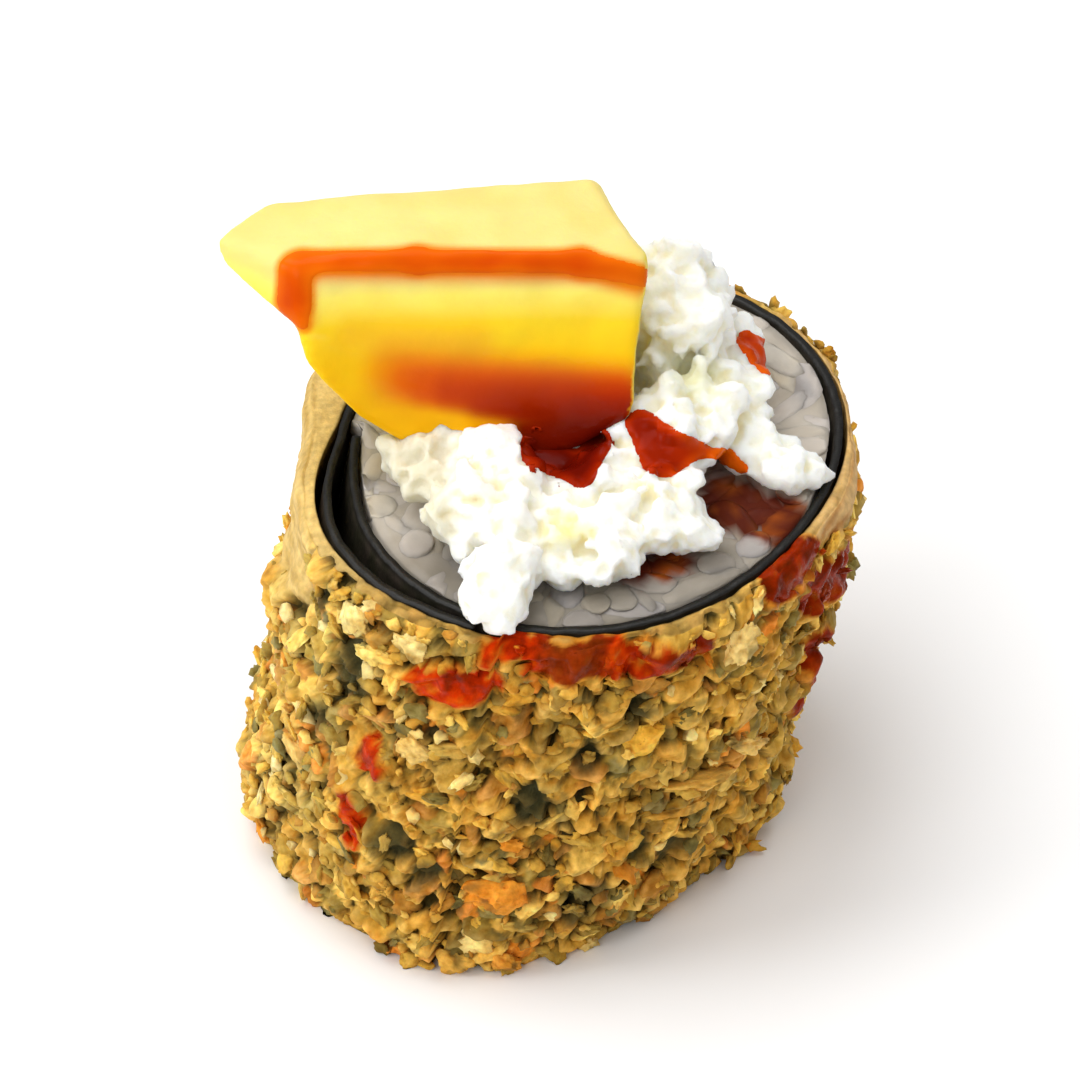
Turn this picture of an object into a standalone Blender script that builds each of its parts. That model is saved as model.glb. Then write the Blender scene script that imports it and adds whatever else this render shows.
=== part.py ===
"""One fried hosomaki piece standing on its cut end: a crumb coat round a nori
wrap and rice, topped with cream cheese curds and a chunk of avocado.

The origin is the middle of the lower cut, +Z runs up the roll, and -Y is the
side that the avocado's sloping face looks to. Sizes are in millimetres until
a mesh is finished, and in metres from then on.
"""

import math
import random

import bmesh
import bpy
from mathutils import Vector, noise

MM = 0.001
GAP = 0.3  # clearance between pieces that lie against each other

# The roll
HEIGHT = 25.6  # lower cut to upper cut
LEAN = 4.0  # how far the upper cut sits towards +X of the lower one
RADIUS = 14.2  # middle of the nori, mean
OUT_OF_ROUND = ((1, 0.60, 9), (2, 0.78, 67), (3, 0.20, 23))  # waves, mm, degrees
FOOT_TUCK, FOOT_TUCK_Z = 0.7, 8.0  # drawn in at the lower cut, over this height
FOOT_TUCK_MORE, FOOT_TUCK_AT = 0.8, 297  # and more towards this side, degrees
LEVELS = (0, 0.09, 0.18, 0.3, 0.45, 0.7, 1)  # shares of the height with an edge

# The nori sheet, wound once and a bit
NORI = 0.5  # thickness
SHEET_START, SHEET_END = 176, 608  # degrees of winding
SEAM_DENT = 0.4  # inner end pressed into the rice
SEAM_POCKET = 1.0  # most that the outer end stands off, besides its clearance
SEAM_SHUT, SEAM_SHUT_Z = 0.85, (8.0, 24.0)  # share of the pocket that closes, between these heights
SHEET_STEPS = 84

# The crumb coat
COAT = 1.35  # least thickness beyond the nori, lumps aside
COAT_HEAVY, COAT_HEAVY_AT = 1.7, 140  # thicker near the upper cut towards this side, degrees
COAT_HEAVY_Z = (12.0, 22.0)  # from nothing to all of it
COAT_LUMPS = 0.8
COAT_BUMPS = (  # single lumps and hollows: degrees, height, how far out, spread
    (186, 20.5, -0.45, 3.5),
    (190, 4.0, 0.95, 3.2),
    (262, 0.5, 0.9, 2.4),
    (336, 0.5, 0.9, 2.6),
    (356, 8.5, -0.6, 3.5),
    (220, 0.5, -0.4, 2.6),
    (154, 24.8, 0.5, 2.4),
    (15, 25.0, -0.6, 3.0),
)
COAT_RIM_DROP = 0.35  # its cut edge lies under the nori's
COAT_SIDES, COAT_LEVELS = 72, 11

# The rice
RICE_SIDES, RICE_RINGS = 60, 5
RICE_DROP, RICE_GRAIN = 0.45, 0.25  # mean depth of its top under the cut, and its unevenness

# The avocado chunk: corners of its top, its foot, all from the middle of the upper cut
TOP_Z = 13.6
TOP_FRONT_LEFT, TOP_FRONT_RIGHT = (-15.8, 0.3), (4.05, 0.7)
TOP_BACK_LEFT, TOP_BACK_RIGHT = (-17.7, 5.6), (0.9, 7.6)
FOOT_FRONT_LEFT, FOOT_FRONT_RIGHT = (-15.2, -3.0), (2.9, -3.1)
FOOT_BACK_LEFT, FOOT_BACK_RIGHT = (-15.4, 5.8), (1.4, 7.8)
FOOT_Z, FOOT_LOW_X = 0.9, -3.9  # its lowest line, and where along X that is
FOOT_RISE_LEFT, FOOT_RISE_RIGHT = 7.4, 3.8
LEFT_POINT = 4.2  # how far the left end comes to a point
CHUNK_EDGE = 0.7  # rounding of its edges

# The cream cheese curds: X, Y, height of the middle over the cut, and three half sizes
CURDS = (
    (-2.2, 1.6, 0.9, 8.3, 6.4, 2.6),  # bed under the chunk
    (5.3, 4.4, 3.6, 3.3, 4.0, 4.4),  # heap beside it
    (4.7, 6.0, 6.5, 2.3, 2.3, 2.3),
    (6.1, 4.2, 5.4, 2.0, 2.3, 2.4),
    (7.7, 5.0, 1.7, 2.1, 3.4, 2.2),
    (7.8, 0.8, 1.6, 2.4, 3.2, 2.5),
    (5.0, -1.6, 2.2, 2.6, 3.4, 2.8),
    (10.2, -1.5, 0.7, 1.5, 1.0, 1.0),
    (11.9, -2.9, 0.5, 1.2, 0.8, 0.7),
    (2.7, -6.2, 1.5, 3.6, 3.9, 2.4),
    (5.4, -7.6, 0.9, 1.5, 2.2, 1.4),
    (1.0, -9.6, 1.0, 2.5, 2.6, 1.6),
    (-1.2, -7.0, 1.0, 2.0, 3.2, 1.6),
    (-4.9, -6.4, 1.7, 3.6, 4.2, 2.5),
    (-4.4, -10.9, 1.1, 2.6, 3.0, 1.8),
    (-4.5, -13.6, 0.8, 1.5, 1.9, 1.1),
    (-8.4, -3.3, 1.3, 2.6, 2.4, 1.9),
    (-6.0, 6.2, 1.2, 3.6, 2.8, 2.0),
    (1.6, 8.2, 1.6, 3.8, 2.6, 2.8),
)
CURD_KNOBS = 60  # small knobs on the heap
CURD_VOXEL = 0.85
CURD_THINNING = 0.55  # share of the grown faces that is kept


def smooth(x):
    x = min(max(x, 0.0), 1.0)
    return x * x * (3 - 2 * x)


def ring(degrees, z):
    """Radius of the nori's middle, without its seam."""
    out_of_round = sum(
        size * math.cos(math.radians(waves * (degrees - at)))
        for waves, size, at in OUT_OF_ROUND
    )
    side = max(0, math.cos(math.radians(degrees - FOOT_TUCK_AT))) ** 4
    tuck = FOOT_TUCK + FOOT_TUCK_MORE * side
    return RADIUS + out_of_round - tuck * (1 - smooth(z / FOOT_TUCK_Z))


def winding(degrees, z):
    """Radius of the sheet's middle along its winding, seam included."""
    r = ring(degrees, z)
    r -= SEAM_DENT * (1 - smooth((degrees - SHEET_START) / 42))
    over = SHEET_START + 360
    if degrees > over - 40:
        r += (NORI + GAP - SEAM_DENT) * smooth((degrees - over + 40) / 40)
    if degrees > over:
        along = (degrees - over) / (SHEET_END - over)
        r += SEAM_DENT * smooth((degrees - over) / 42)
        low, high = SEAM_SHUT_Z
        pocket = SEAM_POCKET * (1 - SEAM_SHUT * (1 - smooth((z - low) / (high - low))))
        r += pocket * math.sin(math.pi * min(along, 1) ** 0.85) ** 1.5
    return r


def layers(degrees, z):
    """The sheet's radii in this direction, one for each layer."""
    first = degrees % 360
    turns = (first, first + 360, first + 720)
    return [winding(d, z) for d in turns if SHEET_START <= d <= SHEET_END]


def around_sheet(degrees, z, pick, sign):
    """Outermost or innermost face of the sheet near this direction."""
    near = [r for d in range(-6, 7, 2) for r in layers(degrees + d, z)]
    return pick(near) + sign * NORI / 2


def coat_hole(degrees, z):
    return around_sheet(degrees, z, max, 1) + GAP


def rice_wall(degrees, z):
    return around_sheet(degrees, z, min, -1) - GAP


def lean(x, y, z):
    """A point of the roll, leaning as it does."""
    return Vector((x + LEAN * z / HEIGHT, y, z)) * MM


def coat_wall(degrees, z):
    """Outer radius of the crumb coat, lumps and all."""
    a = math.radians(degrees)
    r = coat_hole(degrees, z) - GAP + COAT
    low, high = COAT_HEAVY_Z
    heavy = COAT_HEAVY * smooth((z - low) / (high - low))
    r += heavy * max(0, math.cos(math.radians(degrees - COAT_HEAVY_AT))) ** 6
    for bump_at, bump_z, out, spread in COAT_BUMPS:
        off = math.radians((degrees - bump_at + 180) % 360 - 180) * RADIUS
        r += out * math.exp(-(off**2 + (z - bump_z) ** 2) / (2 * spread**2))
    at = Vector((16 * math.cos(a), 16 * math.sin(a), z))
    lumps = noise.noise(at / 3.4) + 0.6 * noise.noise(at / 1.9 + Vector((7, 0, 0)))
    r += COAT_LUMPS * lumps * smooth((HEIGHT + 1 - z) / 5)
    r -= 0.6 * (1 - smooth(z / 2.2))  # foot
    return r - 0.55 * smooth((z - HEIGHT + 1.5) / 1.5) ** 2  # rounded edge


def drum(sides, levels, rings=0):
    """A capped unit cylinder from z 0 to 1, with level edges up its side and
    rings inset in its top."""
    bm = bmesh.new()
    bmesh.ops.create_cone(
        bm, cap_ends=True, segments=sides, radius1=1, radius2=1, depth=1
    )
    bmesh.ops.translate(bm, verts=bm.verts, vec=(0, 0, 0.5))
    upright = [e for e in bm.edges if abs(e.verts[0].co.z - e.verts[1].co.z) > 0.5]
    bmesh.ops.subdivide_edges(bm, edges=upright, cuts=levels - 1, use_grid_fill=True)
    if rings:
        top = max(bm.faces, key=lambda f: f.calc_center_median().z)
        for _ in range(rings - 1):
            bmesh.ops.inset_region(
                bm, faces=[top], thickness=1 / rings, use_even_offset=False
            )
        bmesh.ops.poke(bm, faces=[top])
    return bm


def reshape(bm, place):
    """Moves each vertex of a drum to place(degrees, share of radius, share of height)."""
    for v in bm.verts:
        x, y, s = v.co
        v.co = place(math.degrees(math.atan2(y, x)) % 360, math.hypot(x, y), s)


def finish(name, bm, collection, smooth_shaded=True):
    bmesh.ops.recalc_face_normals(bm, faces=bm.faces)
    mesh = bpy.data.meshes.new(name)
    bm.to_mesh(mesh)
    bm.free()
    if smooth_shaded:
        mesh.shade_smooth()
    ob = bpy.data.objects.new(name, mesh)
    collection.objects.link(ob)
    return ob


def finish_cutter(name, bm, collection):
    ob = finish(name, bm, collection, smooth_shaded=False)
    ob.hide_render = True
    ob.display_type = "WIRE"
    return ob


def cut(ob, cutter):
    mod = ob.modifiers.new(cutter.name, "BOOLEAN")
    mod.operation = "DIFFERENCE"
    mod.solver = "EXACT"
    mod.object = cutter


def paint(ob, colour, roughness, subsurface=0.0):
    mat = bpy.data.materials.new(ob.name)
    mat.use_nodes = True
    shader = mat.node_tree.nodes["Principled BSDF"]
    shader.inputs["Base Color"].default_value = (*colour, 1)
    shader.inputs["Roughness"].default_value = roughness
    shader.inputs["Metallic"].default_value = 0.0
    shader.inputs["Subsurface Weight"].default_value = subsurface
    mat.diffuse_color = (*colour, 1)
    ob.data.materials.append(mat)


def make_coat(parts, cutters):
    """A lumpy tube: a drum with the wrapped roll's outline cut out of it."""

    def place(degrees, share, s):
        # levels crowd towards the two rounded edges
        t = 0.5 - 0.5 * math.cos(math.pi * s)
        z = (HEIGHT - COAT_RIM_DROP) * (0.45 * t + 0.55 * s)
        r = coat_wall(degrees, z) * share
        if s == 1:
            at = Vector((math.cos(math.radians(degrees)), math.sin(math.radians(degrees)), 4))
            z += 0.2 * noise.noise(at * 5)
        return lean(r * math.cos(math.radians(degrees)), r * math.sin(math.radians(degrees)), z)

    bm = drum(COAT_SIDES, COAT_LEVELS)
    reshape(bm, place)
    coat = finish("crumb_coat", bm, parts)

    def hole(degrees, share, s):
        level = LEVELS[round(s * (len(LEVELS) - 1))]
        z = HEIGHT * level
        r = coat_hole(degrees, z)
        z += -2 if level == 0 else 2 if level == 1 else 0
        return lean(r * math.cos(math.radians(degrees)), r * math.sin(math.radians(degrees)), z)

    bm = drum(COAT_SIDES, len(LEVELS) - 1)
    reshape(bm, hole)
    cut(coat, finish_cutter("roll_outline", bm, cutters))
    paint(coat, (0.39, 0.19, 0.03), 0.8)


def make_nori(parts):
    """A sheet wound round the rice, its outer end standing off at the seam."""
    bm = bmesh.new()
    wound = bm.verts.layers.float.new("wound")  # how far round each vertex lies
    last = None
    for i in range(SHEET_STEPS + 1):
        v = bm.verts.new((0, 0, 0))
        v[wound] = SHEET_START + (SHEET_END - SHEET_START) * i / SHEET_STEPS
        if last:
            bm.edges.new((last, v))
        last = v
    edges = list(bm.edges)
    for low, high in zip(LEVELS, LEVELS[1:]):
        grown = bmesh.ops.extrude_edge_only(bm, edges=edges)["geom"]
        edges = [g for g in grown if isinstance(g, bmesh.types.BMEdge)]
        verts = [g for g in grown if isinstance(g, bmesh.types.BMVert)]
        bmesh.ops.translate(bm, verts=verts, vec=(0, 0, HEIGHT * (high - low)))
    for v in bm.verts:
        z = v.co.z
        a, r = math.radians(v[wound]), winding(v[wound], z)
        x, y = r * math.cos(a), r * math.sin(a)
        if z > HEIGHT - 0.01:
            z -= 0.1 + 0.1 * noise.noise(Vector((x, y, 3)) / 2.5)
        v.co = lean(x, y, z)
    nori = finish("nori", bm, parts)
    wall = nori.modifiers.new("thickness", "SOLIDIFY")
    wall.thickness = NORI * MM
    wall.offset = 0
    wall.use_even_offset = True
    paint(nori, (0.012, 0.014, 0.012), 0.45)


def make_rice(parts):
    """The rice core, with a grainy upper cut and a flat lower one."""

    def place(degrees, share, s):
        a = math.radians(degrees)
        z = HEIGHT * LEVELS[round(s * (len(LEVELS) - 1))]
        r = rice_wall(degrees, z) * share
        x, y = r * math.cos(a), r * math.sin(a)
        z -= RICE_DROP if s == 1 else 0
        if s == 1:
            z += RICE_GRAIN * noise.noise(Vector((x, y, 9)) / 1.7)
            z -= 0.25 * smooth((share - 0.8) / 0.2)
        return lean(x, y, z)

    bm = drum(RICE_SIDES, len(LEVELS) - 1, RICE_RINGS)
    reshape(bm, place)
    paint(finish("rice", bm, parts), (0.42, 0.38, 0.31), 0.5, 0.1)


def chunk(grow=0.0):
    """The avocado chunk's body: a block whose long top, foot and ends follow the
    named corners, grown outwards by grow."""
    bm = bmesh.new()
    bmesh.ops.create_cube(bm, size=1)
    bmesh.ops.translate(bm, verts=bm.verts, vec=(0.5, 0.5, 0.5))
    for axis, cuts in ((0, 5), (1, 1), (2, 2)):
        along = [
            e
            for e in bm.edges
            if abs(e.verts[0].co[axis] - e.verts[1].co[axis]) > 0.5
        ]
        bmesh.ops.subdivide_edges(bm, edges=along, cuts=cuts, use_grid_fill=True)
    for v in bm.verts:
        u, w, h = v.co
        top = Vector(TOP_FRONT_LEFT).lerp(Vector(TOP_FRONT_RIGHT), u)
        top = top.lerp(Vector(TOP_BACK_LEFT).lerp(Vector(TOP_BACK_RIGHT), u), w)
        foot = Vector(FOOT_FRONT_LEFT).lerp(Vector(FOOT_FRONT_RIGHT), u)
        foot = foot.lerp(Vector(FOOT_BACK_LEFT).lerp(Vector(FOOT_BACK_RIGHT), u), w)
        off = foot.x - FOOT_LOW_X
        rise = (
            FOOT_RISE_LEFT * (off / (FOOT_FRONT_LEFT[0] - FOOT_LOW_X)) ** 2.6
            if off < 0
            else FOOT_RISE_RIGHT * (off / (FOOT_FRONT_RIGHT[0] - FOOT_LOW_X)) ** 2
        )
        x, y = foot.lerp(top, h)
        z = FOOT_Z + rise + (TOP_Z - FOOT_Z - rise) * h
        # the left end's point, high and in the middle of its width
        x -= LEFT_POINT * (1 - smooth(u * 3)) * math.sin(math.pi * w) * smooth(h * 1.3)
        z -= 0.8 * (1 - smooth(u * 4)) * math.sin(math.pi * w) * h
        # faces a little full
        y -= 0.35 * math.sin(math.pi * u) * math.sin(math.pi * h) * (1 - 2 * w)
        z += 0.25 * math.sin(math.pi * u) * math.sin(math.pi * w) * h
        v.co = (x, y, z)
    bmesh.ops.recalc_face_normals(bm, faces=bm.faces)
    bm.normal_update()
    if grow:
        moves = [(v, v.normal * grow * v.calc_shell_factor()) for v in bm.verts]
        for v, move in moves:
            v.co += move
    for v in bm.verts:
        v.co = Vector((v.co.x + LEAN, v.co.y, v.co.z + HEIGHT)) * MM
    return bm


def make_avocado(parts, cutters):
    """The chunk with rounded edges, and the cutter for its seat in the cheese."""
    avocado = finish("avocado", chunk(), parts)
    edges = avocado.modifiers.new("edges", "BEVEL")
    edges.width = CHUNK_EDGE * MM
    edges.segments = 2
    edges.limit_method = "ANGLE"
    edges.angle_limit = math.radians(38)
    paint(avocado, (0.95, 0.75, 0.12), 0.4, 0.2)
    return finish_cutter("chunk_seat", chunk(GAP + 0.05), cutters)


def make_cheese(parts, cutters, seat):
    """A heap of curds grown into one body, cut flat where it lies on the roll
    and hollowed where the chunk sits in it."""
    rng = random.Random(11)
    bm = bmesh.new()

    def ball(x, y, z, a, b, c, fineness):
        made = bmesh.ops.create_icosphere(bm, subdivisions=fineness, radius=1)["verts"]
        for v in made:
            n = v.co.normalized()
            swell = 1 + 0.12 * noise.noise(n * 1.9 + Vector((x, y, z)))
            v.co = (x + a * n.x * swell, y + b * n.y * swell, z + c * n.z * swell)

    for curd in CURDS:
        ball(*curd, 3)
    for _ in range(CURD_KNOBS):
        x, y, z, a, b, c = rng.choice(CURDS)
        up = Vector((rng.gauss(0, 1), rng.gauss(0, 1), abs(rng.gauss(0, 1)))).normalized()
        size = rng.uniform(0.7, 1.15)
        ball(
            x + up.x * a * 0.92, y + up.y * b * 0.92, z + up.z * c * 0.92,
            size, size, size * 0.9, 2,
        )
    for v in bm.verts:
        v.co = Vector((v.co.x + LEAN, v.co.y, v.co.z + HEIGHT)) * MM
    cheese = finish("cream_cheese", bm, parts)
    grown = cheese.modifiers.new("one_body", "REMESH")
    grown.mode = "VOXEL"
    grown.voxel_size = CURD_VOXEL * MM
    fewer = cheese.modifiers.new("fewer", "DECIMATE")
    fewer.ratio = CURD_THINNING

    bm = bmesh.new()
    bmesh.ops.create_cube(bm, size=1)
    deep = 12
    for v in bm.verts:
        v.co = Vector(
            (v.co.x * 60, v.co.y * 60, HEIGHT + GAP + (v.co.z - 0.5) * deep)
        ) * MM
    cut(cheese, finish_cutter("upper_cut", bm, cutters))
    cut(cheese, seat)
    paint(cheese, (0.95, 0.93, 0.82), 0.6, 0.2)


def main():
    for ob in list(bpy.data.objects):
        bpy.data.objects.remove(ob)
    parts = bpy.data.collections.new("hosomaki")
    cutters = bpy.data.collections.new("cutters")
    for c in (parts, cutters):
        bpy.context.scene.collection.children.link(c)
    make_coat(parts, cutters)
    make_nori(parts)
    make_rice(parts)
    seat = make_avocado(parts, cutters)
    make_cheese(parts, cutters, seat)


main()
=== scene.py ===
"""The looks of one fried hosomaki piece: a crumb coat round nori and rice, with
cream cheese curds, a chunk of avocado and a thin red-brown sauce on top.

All shapes are worked out in millimetres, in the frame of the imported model: the
origin is the middle of the lower cut, +Z runs up the roll, and -Y is the side
that the avocado's sloping face looks to.
"""

import math

import bmesh
import bpy
import numpy as np
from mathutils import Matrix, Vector, noise
from mathutils.bvhtree import BVHTree


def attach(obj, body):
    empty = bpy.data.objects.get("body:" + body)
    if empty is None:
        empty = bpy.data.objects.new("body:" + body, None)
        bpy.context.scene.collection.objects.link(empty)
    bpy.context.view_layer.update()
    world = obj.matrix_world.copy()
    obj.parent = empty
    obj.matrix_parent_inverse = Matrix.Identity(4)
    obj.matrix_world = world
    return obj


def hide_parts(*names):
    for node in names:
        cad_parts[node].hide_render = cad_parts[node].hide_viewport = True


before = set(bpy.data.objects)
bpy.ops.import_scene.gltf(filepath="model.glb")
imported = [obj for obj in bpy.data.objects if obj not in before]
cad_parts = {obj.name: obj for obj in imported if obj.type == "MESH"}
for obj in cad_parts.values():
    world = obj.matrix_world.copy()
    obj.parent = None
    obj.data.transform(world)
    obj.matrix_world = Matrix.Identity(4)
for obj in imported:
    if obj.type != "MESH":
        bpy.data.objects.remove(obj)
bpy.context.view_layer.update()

MM = 0.001
GAP = 0.3
ELEVATION = 43  # degrees above the horizon that the piece is seen from
FLAT, STEEP = math.sin(math.radians(ELEVATION)), math.cos(math.radians(ELEVATION))

# The roll, as the model has it
HEIGHT, LEAN, RADIUS = 25.6, 4.0, 14.2
OUT_OF_ROUND = ((1, 0.60, 9), (2, 0.78, 67), (3, 0.20, 23))
FOOT_TUCK, FOOT_TUCK_Z, FOOT_TUCK_MORE, FOOT_TUCK_AT = 0.7, 8.0, 0.8, 297
NORI = 0.5
SHEET_START, SHEET_END = 176, 608
SEAM_DENT, SEAM_POCKET, SEAM_SHUT, SEAM_SHUT_Z = 0.4, 1.0, 0.85, (8.0, 24.0)
COAT, COAT_LUMPS, COAT_RIM_DROP = 1.35, 0.8, 0.35
COAT_HEAVY, COAT_HEAVY_AT, COAT_HEAVY_Z = 1.7, 140, (12.0, 22.0)
COAT_BUMPS = (
    (186, 20.5, -0.45, 3.5),
    (190, 4.0, 0.95, 3.2),
    (262, 0.5, 0.9, 2.4),
    (336, 0.5, 0.9, 2.6),
    (356, 8.5, -0.6, 3.5),
    (220, 0.5, -0.4, 2.6),
    (154, 24.8, 0.5, 2.4),
    (15, 25.0, -0.6, 3.0),
)

# The cheese: X, Y, height of the middle over the cut, and three half sizes
CURDS = (
    (-2.2, 1.6, 0.9, 8.3, 6.4, 2.6),
    (5.3, 4.4, 3.6, 3.3, 4.0, 4.4),
    (4.7, 6.0, 6.5, 2.3, 2.3, 2.3),
    (6.1, 4.2, 5.4, 2.0, 2.3, 2.4),
    (7.7, 5.0, 1.7, 2.1, 3.4, 2.2),
    (7.8, 0.8, 1.6, 2.4, 3.2, 2.5),
    (5.0, -1.6, 2.2, 2.6, 3.4, 2.8),
    (10.2, -1.5, 0.7, 1.5, 1.0, 1.0),
    (11.9, -2.9, 0.5, 1.2, 0.8, 0.7),
    (2.7, -6.2, 1.5, 3.6, 3.9, 2.4),
    (5.4, -7.6, 0.9, 1.5, 2.2, 1.4),
    (1.0, -9.6, 1.0, 2.5, 2.6, 1.6),
    (-1.2, -7.0, 1.0, 2.0, 3.2, 1.6),
    (-4.9, -6.4, 1.7, 3.6, 4.2, 2.5),
    (-4.4, -10.9, 1.1, 2.6, 3.0, 1.8),
    (-4.5, -13.6, 0.8, 1.5, 1.9, 1.1),
    (-8.4, -3.3, 1.3, 2.6, 2.4, 1.9),
    (-6.0, 6.2, 1.2, 3.6, 2.8, 2.0),
    (1.6, 8.2, 1.6, 3.8, 2.6, 2.8),
)

# Sauce on the coat: degrees round, height, to degrees, height, half width in mm
COAT_SAUCE = (
    (243, 21.6, 252, 22.3, 1.3),
    (253, 24.6, 258, 24.9, 0.7),
    (262, 24.5, 277, 24.4, 1.15),
    (280, 24.0, 295, 23.4, 1.15),
    (233, 15.0, 235, 14.3, 0.9),
    (231, 11.4, 234, 8.2, 0.6),
    (316, 24.9, 327, 24.6, 1.3),
    (331, 21.4, 352, 18.6, 1.5),
    (341, 15.2, 348, 8.8, 1.1),
)

# Sauce on the toppings, on a plane square to the line of sight: X, V to X, V and
# the half widths at both ends, then how deep its colour is at both ends
FILM_STRIPE = (
    (-11.2, 28.75, -5.0, 28.8, 0.56, 0.60, 0.50, 0.55),
    (-5.0, 28.8, 4.0, 28.7, 0.60, 0.60, 0.55, 0.54),
    (4.0, 28.7, 7.3, 27.9, 0.60, 0.56, 0.52, 0.44),
    (-11.8, 28.3, -11.8, 26.6, 0.84, 0.80, 0.48, 0.56),
    (-11.8, 26.6, -11.3, 25.3, 0.75, 0.30, 0.56, 0.44),
)
SMEAR = (  # too thin to stand up: the same, and how softly each ends
    (-8.5, 24.6, -2.0, 24.4, 0.5, 0.5, 0.03, 0.05, 1.4),
    (-6.3, 22.6, 6.0, 21.7, 1.1, 0.9, 0.22, 0.34, 1.4),
    (-5.6, 22.3, 6.0, 21.4, 0.8, 0.9, 0.38, 0.50, 1.0),
    (-4.6, 21.9, 6.0, 21.0, 0.7, 1.0, 0.50, 0.64, 0.9),
    (-3.4, 21.6, 6.0, 20.5, 0.5, 1.0, 0.62, 0.72, 0.9),
    (-1.6, 20.9, 5.8, 19.9, 0.4, 1.0, 0.68, 0.84, 0.9),
    (0.8, 19.6, 5.4, 18.9, 0.5, 1.1, 0.80, 0.96, 0.9),
    (-10.8, 28.3, 4.0, 28.2, 0.4, 0.4, 0.36, 0.36, 0.7),
    (4.0, 28.2, 7.0, 27.3, 0.4, 0.4, 0.36, 0.30, 0.6),
    (-11.4, 27.6, -11.2, 25.6, 0.6, 0.3, 0.34, 0.30, 0.7),
)
FILM_PATCH = (
    (1.8, 18.6, 3.9, 17.0, 1.2, 0.55, 0.92, 1.0),
    (4.9, 18.9, 4.1, 17.2, 0.8, 0.55, 1.0, 1.0),
    (7.3, 19.9, 8.5, 18.2, 0.8, 1.25, 0.90, 0.86),
    (8.5, 18.6, 9.9, 18.5, 1.1, 0.5, 0.82, 0.68),
    (9.9, 18.5, 12.0, 18.1, 0.32, 0.22, 0.62, 0.48),
    (12.0, 18.1, 13.0, 17.4, 0.22, 0.26, 0.46, 0.60),
)
FILM_SPOT = (
    (13.2, 24.6, 14.4, 23.6, 0.55, 0.75, 0.75, 0.65),
    (14.4, 23.6, 15.6, 23.3, 0.75, 0.55, 0.55, 0.35),
)
RICE_STAIN = (
    (11.8, 15.6, 16.0, 14.2, 1.7, 1.5),
    (6.6, 11.9, 9.6, 12.3, 0.9, 0.8),
)


def srgb(r, g, b):
    c = np.array((r, g, b), float) / 255
    return np.where(c <= 0.04045, c / 12.92, ((c + 0.055) / 1.055) ** 2.4)


def smooth(x):
    x = np.clip(x, 0, 1)
    return x * x * (3 - 2 * x)


def mix(a, b, share):
    share = np.asarray(share, float)
    if share.ndim and (np.shape(a)[-1:] == (3,) or np.shape(b)[-1:] == (3,)):
        share = share[..., None]  # colours
    return a * (1 - share) + b * share


def ramp(values, *stops):
    """A colour for each value between 0 and 1, along evenly or freely placed stops."""
    at = np.array([s[0] for s in stops])
    colours = np.array([s[1] for s in stops])
    return np.stack([np.interp(values, at, colours[:, c]) for c in range(3)], axis=-1)


# Noise on arrays of points

_rng = np.random.default_rng(41)
PERM = _rng.permutation(256).astype(np.int64)
GRADS = _rng.normal(size=(256, 3))
GRADS /= np.linalg.norm(GRADS, axis=1)[:, None]
JITTER = _rng.random((256, 3))


def hashed(i, j, k, seed):
    return PERM[(PERM[(PERM[(i + seed * 7) & 255] + j) & 255] + k + seed) & 255]


def perlin(p, seed=0):
    """Gradient noise, about -1 to 1."""
    i = np.floor(p).astype(np.int64)
    f = p - i
    u = f * f * f * (f * (f * 6 - 15) + 10)
    out = np.zeros(len(p))
    for dx in (0, 1):
        for dy in (0, 1):
            for dz in (0, 1):
                g = GRADS[hashed(i[:, 0] + dx, i[:, 1] + dy, i[:, 2] + dz, seed)]
                d = ((f - (dx, dy, dz)) * g).sum(axis=1)
                w = (
                    (u[:, 0] if dx else 1 - u[:, 0])
                    * (u[:, 1] if dy else 1 - u[:, 1])
                    * (u[:, 2] if dz else 1 - u[:, 2])
                )
                out += w * d
    return out * 1.7


def cells(p, seed=0):
    """Distance to the nearest point of a jittered lattice, to the next one, and a
    random value from 0 to 1 for the nearest."""
    i = np.floor(p).astype(np.int64)
    f = p - i
    first = np.full(len(p), 9.0)
    second = np.full(len(p), 9.0)
    which = np.zeros(len(p), np.int64)
    for dx in (-1, 0, 1):
        for dy in (-1, 0, 1):
            for dz in (-1, 0, 1):
                h = hashed(i[:, 0] + dx, i[:, 1] + dy, i[:, 2] + dz, seed)
                d = np.linalg.norm(JITTER[h] + (dx, dy, dz) - f, axis=1)
                nearer = d < first
                second = np.where(nearer, first, np.minimum(second, d))
                which = np.where(nearer, h, which)
                first = np.minimum(first, d)
    return first, second, which / 255


# The roll's outlines

def ring(degrees, z):
    out_of_round = sum(
        size * np.cos(np.radians(waves * (degrees - at)))
        for waves, size, at in OUT_OF_ROUND
    )
    side = np.maximum(0, np.cos(np.radians(degrees - FOOT_TUCK_AT))) ** 4
    tuck = FOOT_TUCK + FOOT_TUCK_MORE * side
    return RADIUS + out_of_round - tuck * (1 - smooth(z / FOOT_TUCK_Z))


def winding(degrees, z):
    """Radius of the sheet's middle along its winding, seam included."""
    r = ring(degrees, z) - SEAM_DENT * (1 - smooth((degrees - SHEET_START) / 42))
    over = SHEET_START + 360
    r = r + (NORI + GAP - SEAM_DENT) * smooth((degrees - over + 40) / 40)
    along = np.clip((degrees - over) / (SHEET_END - over), 0, 1)
    low, high = SEAM_SHUT_Z
    pocket = SEAM_POCKET * (1 - SEAM_SHUT * (1 - smooth((z - low) / (high - low))))
    arch = np.maximum(np.sin(np.pi * along**0.85), 0) ** 1.5
    extra = SEAM_DENT * smooth((degrees - over) / 42) + pocket * arch
    return r + np.where(degrees > over, extra, 0)


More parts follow.
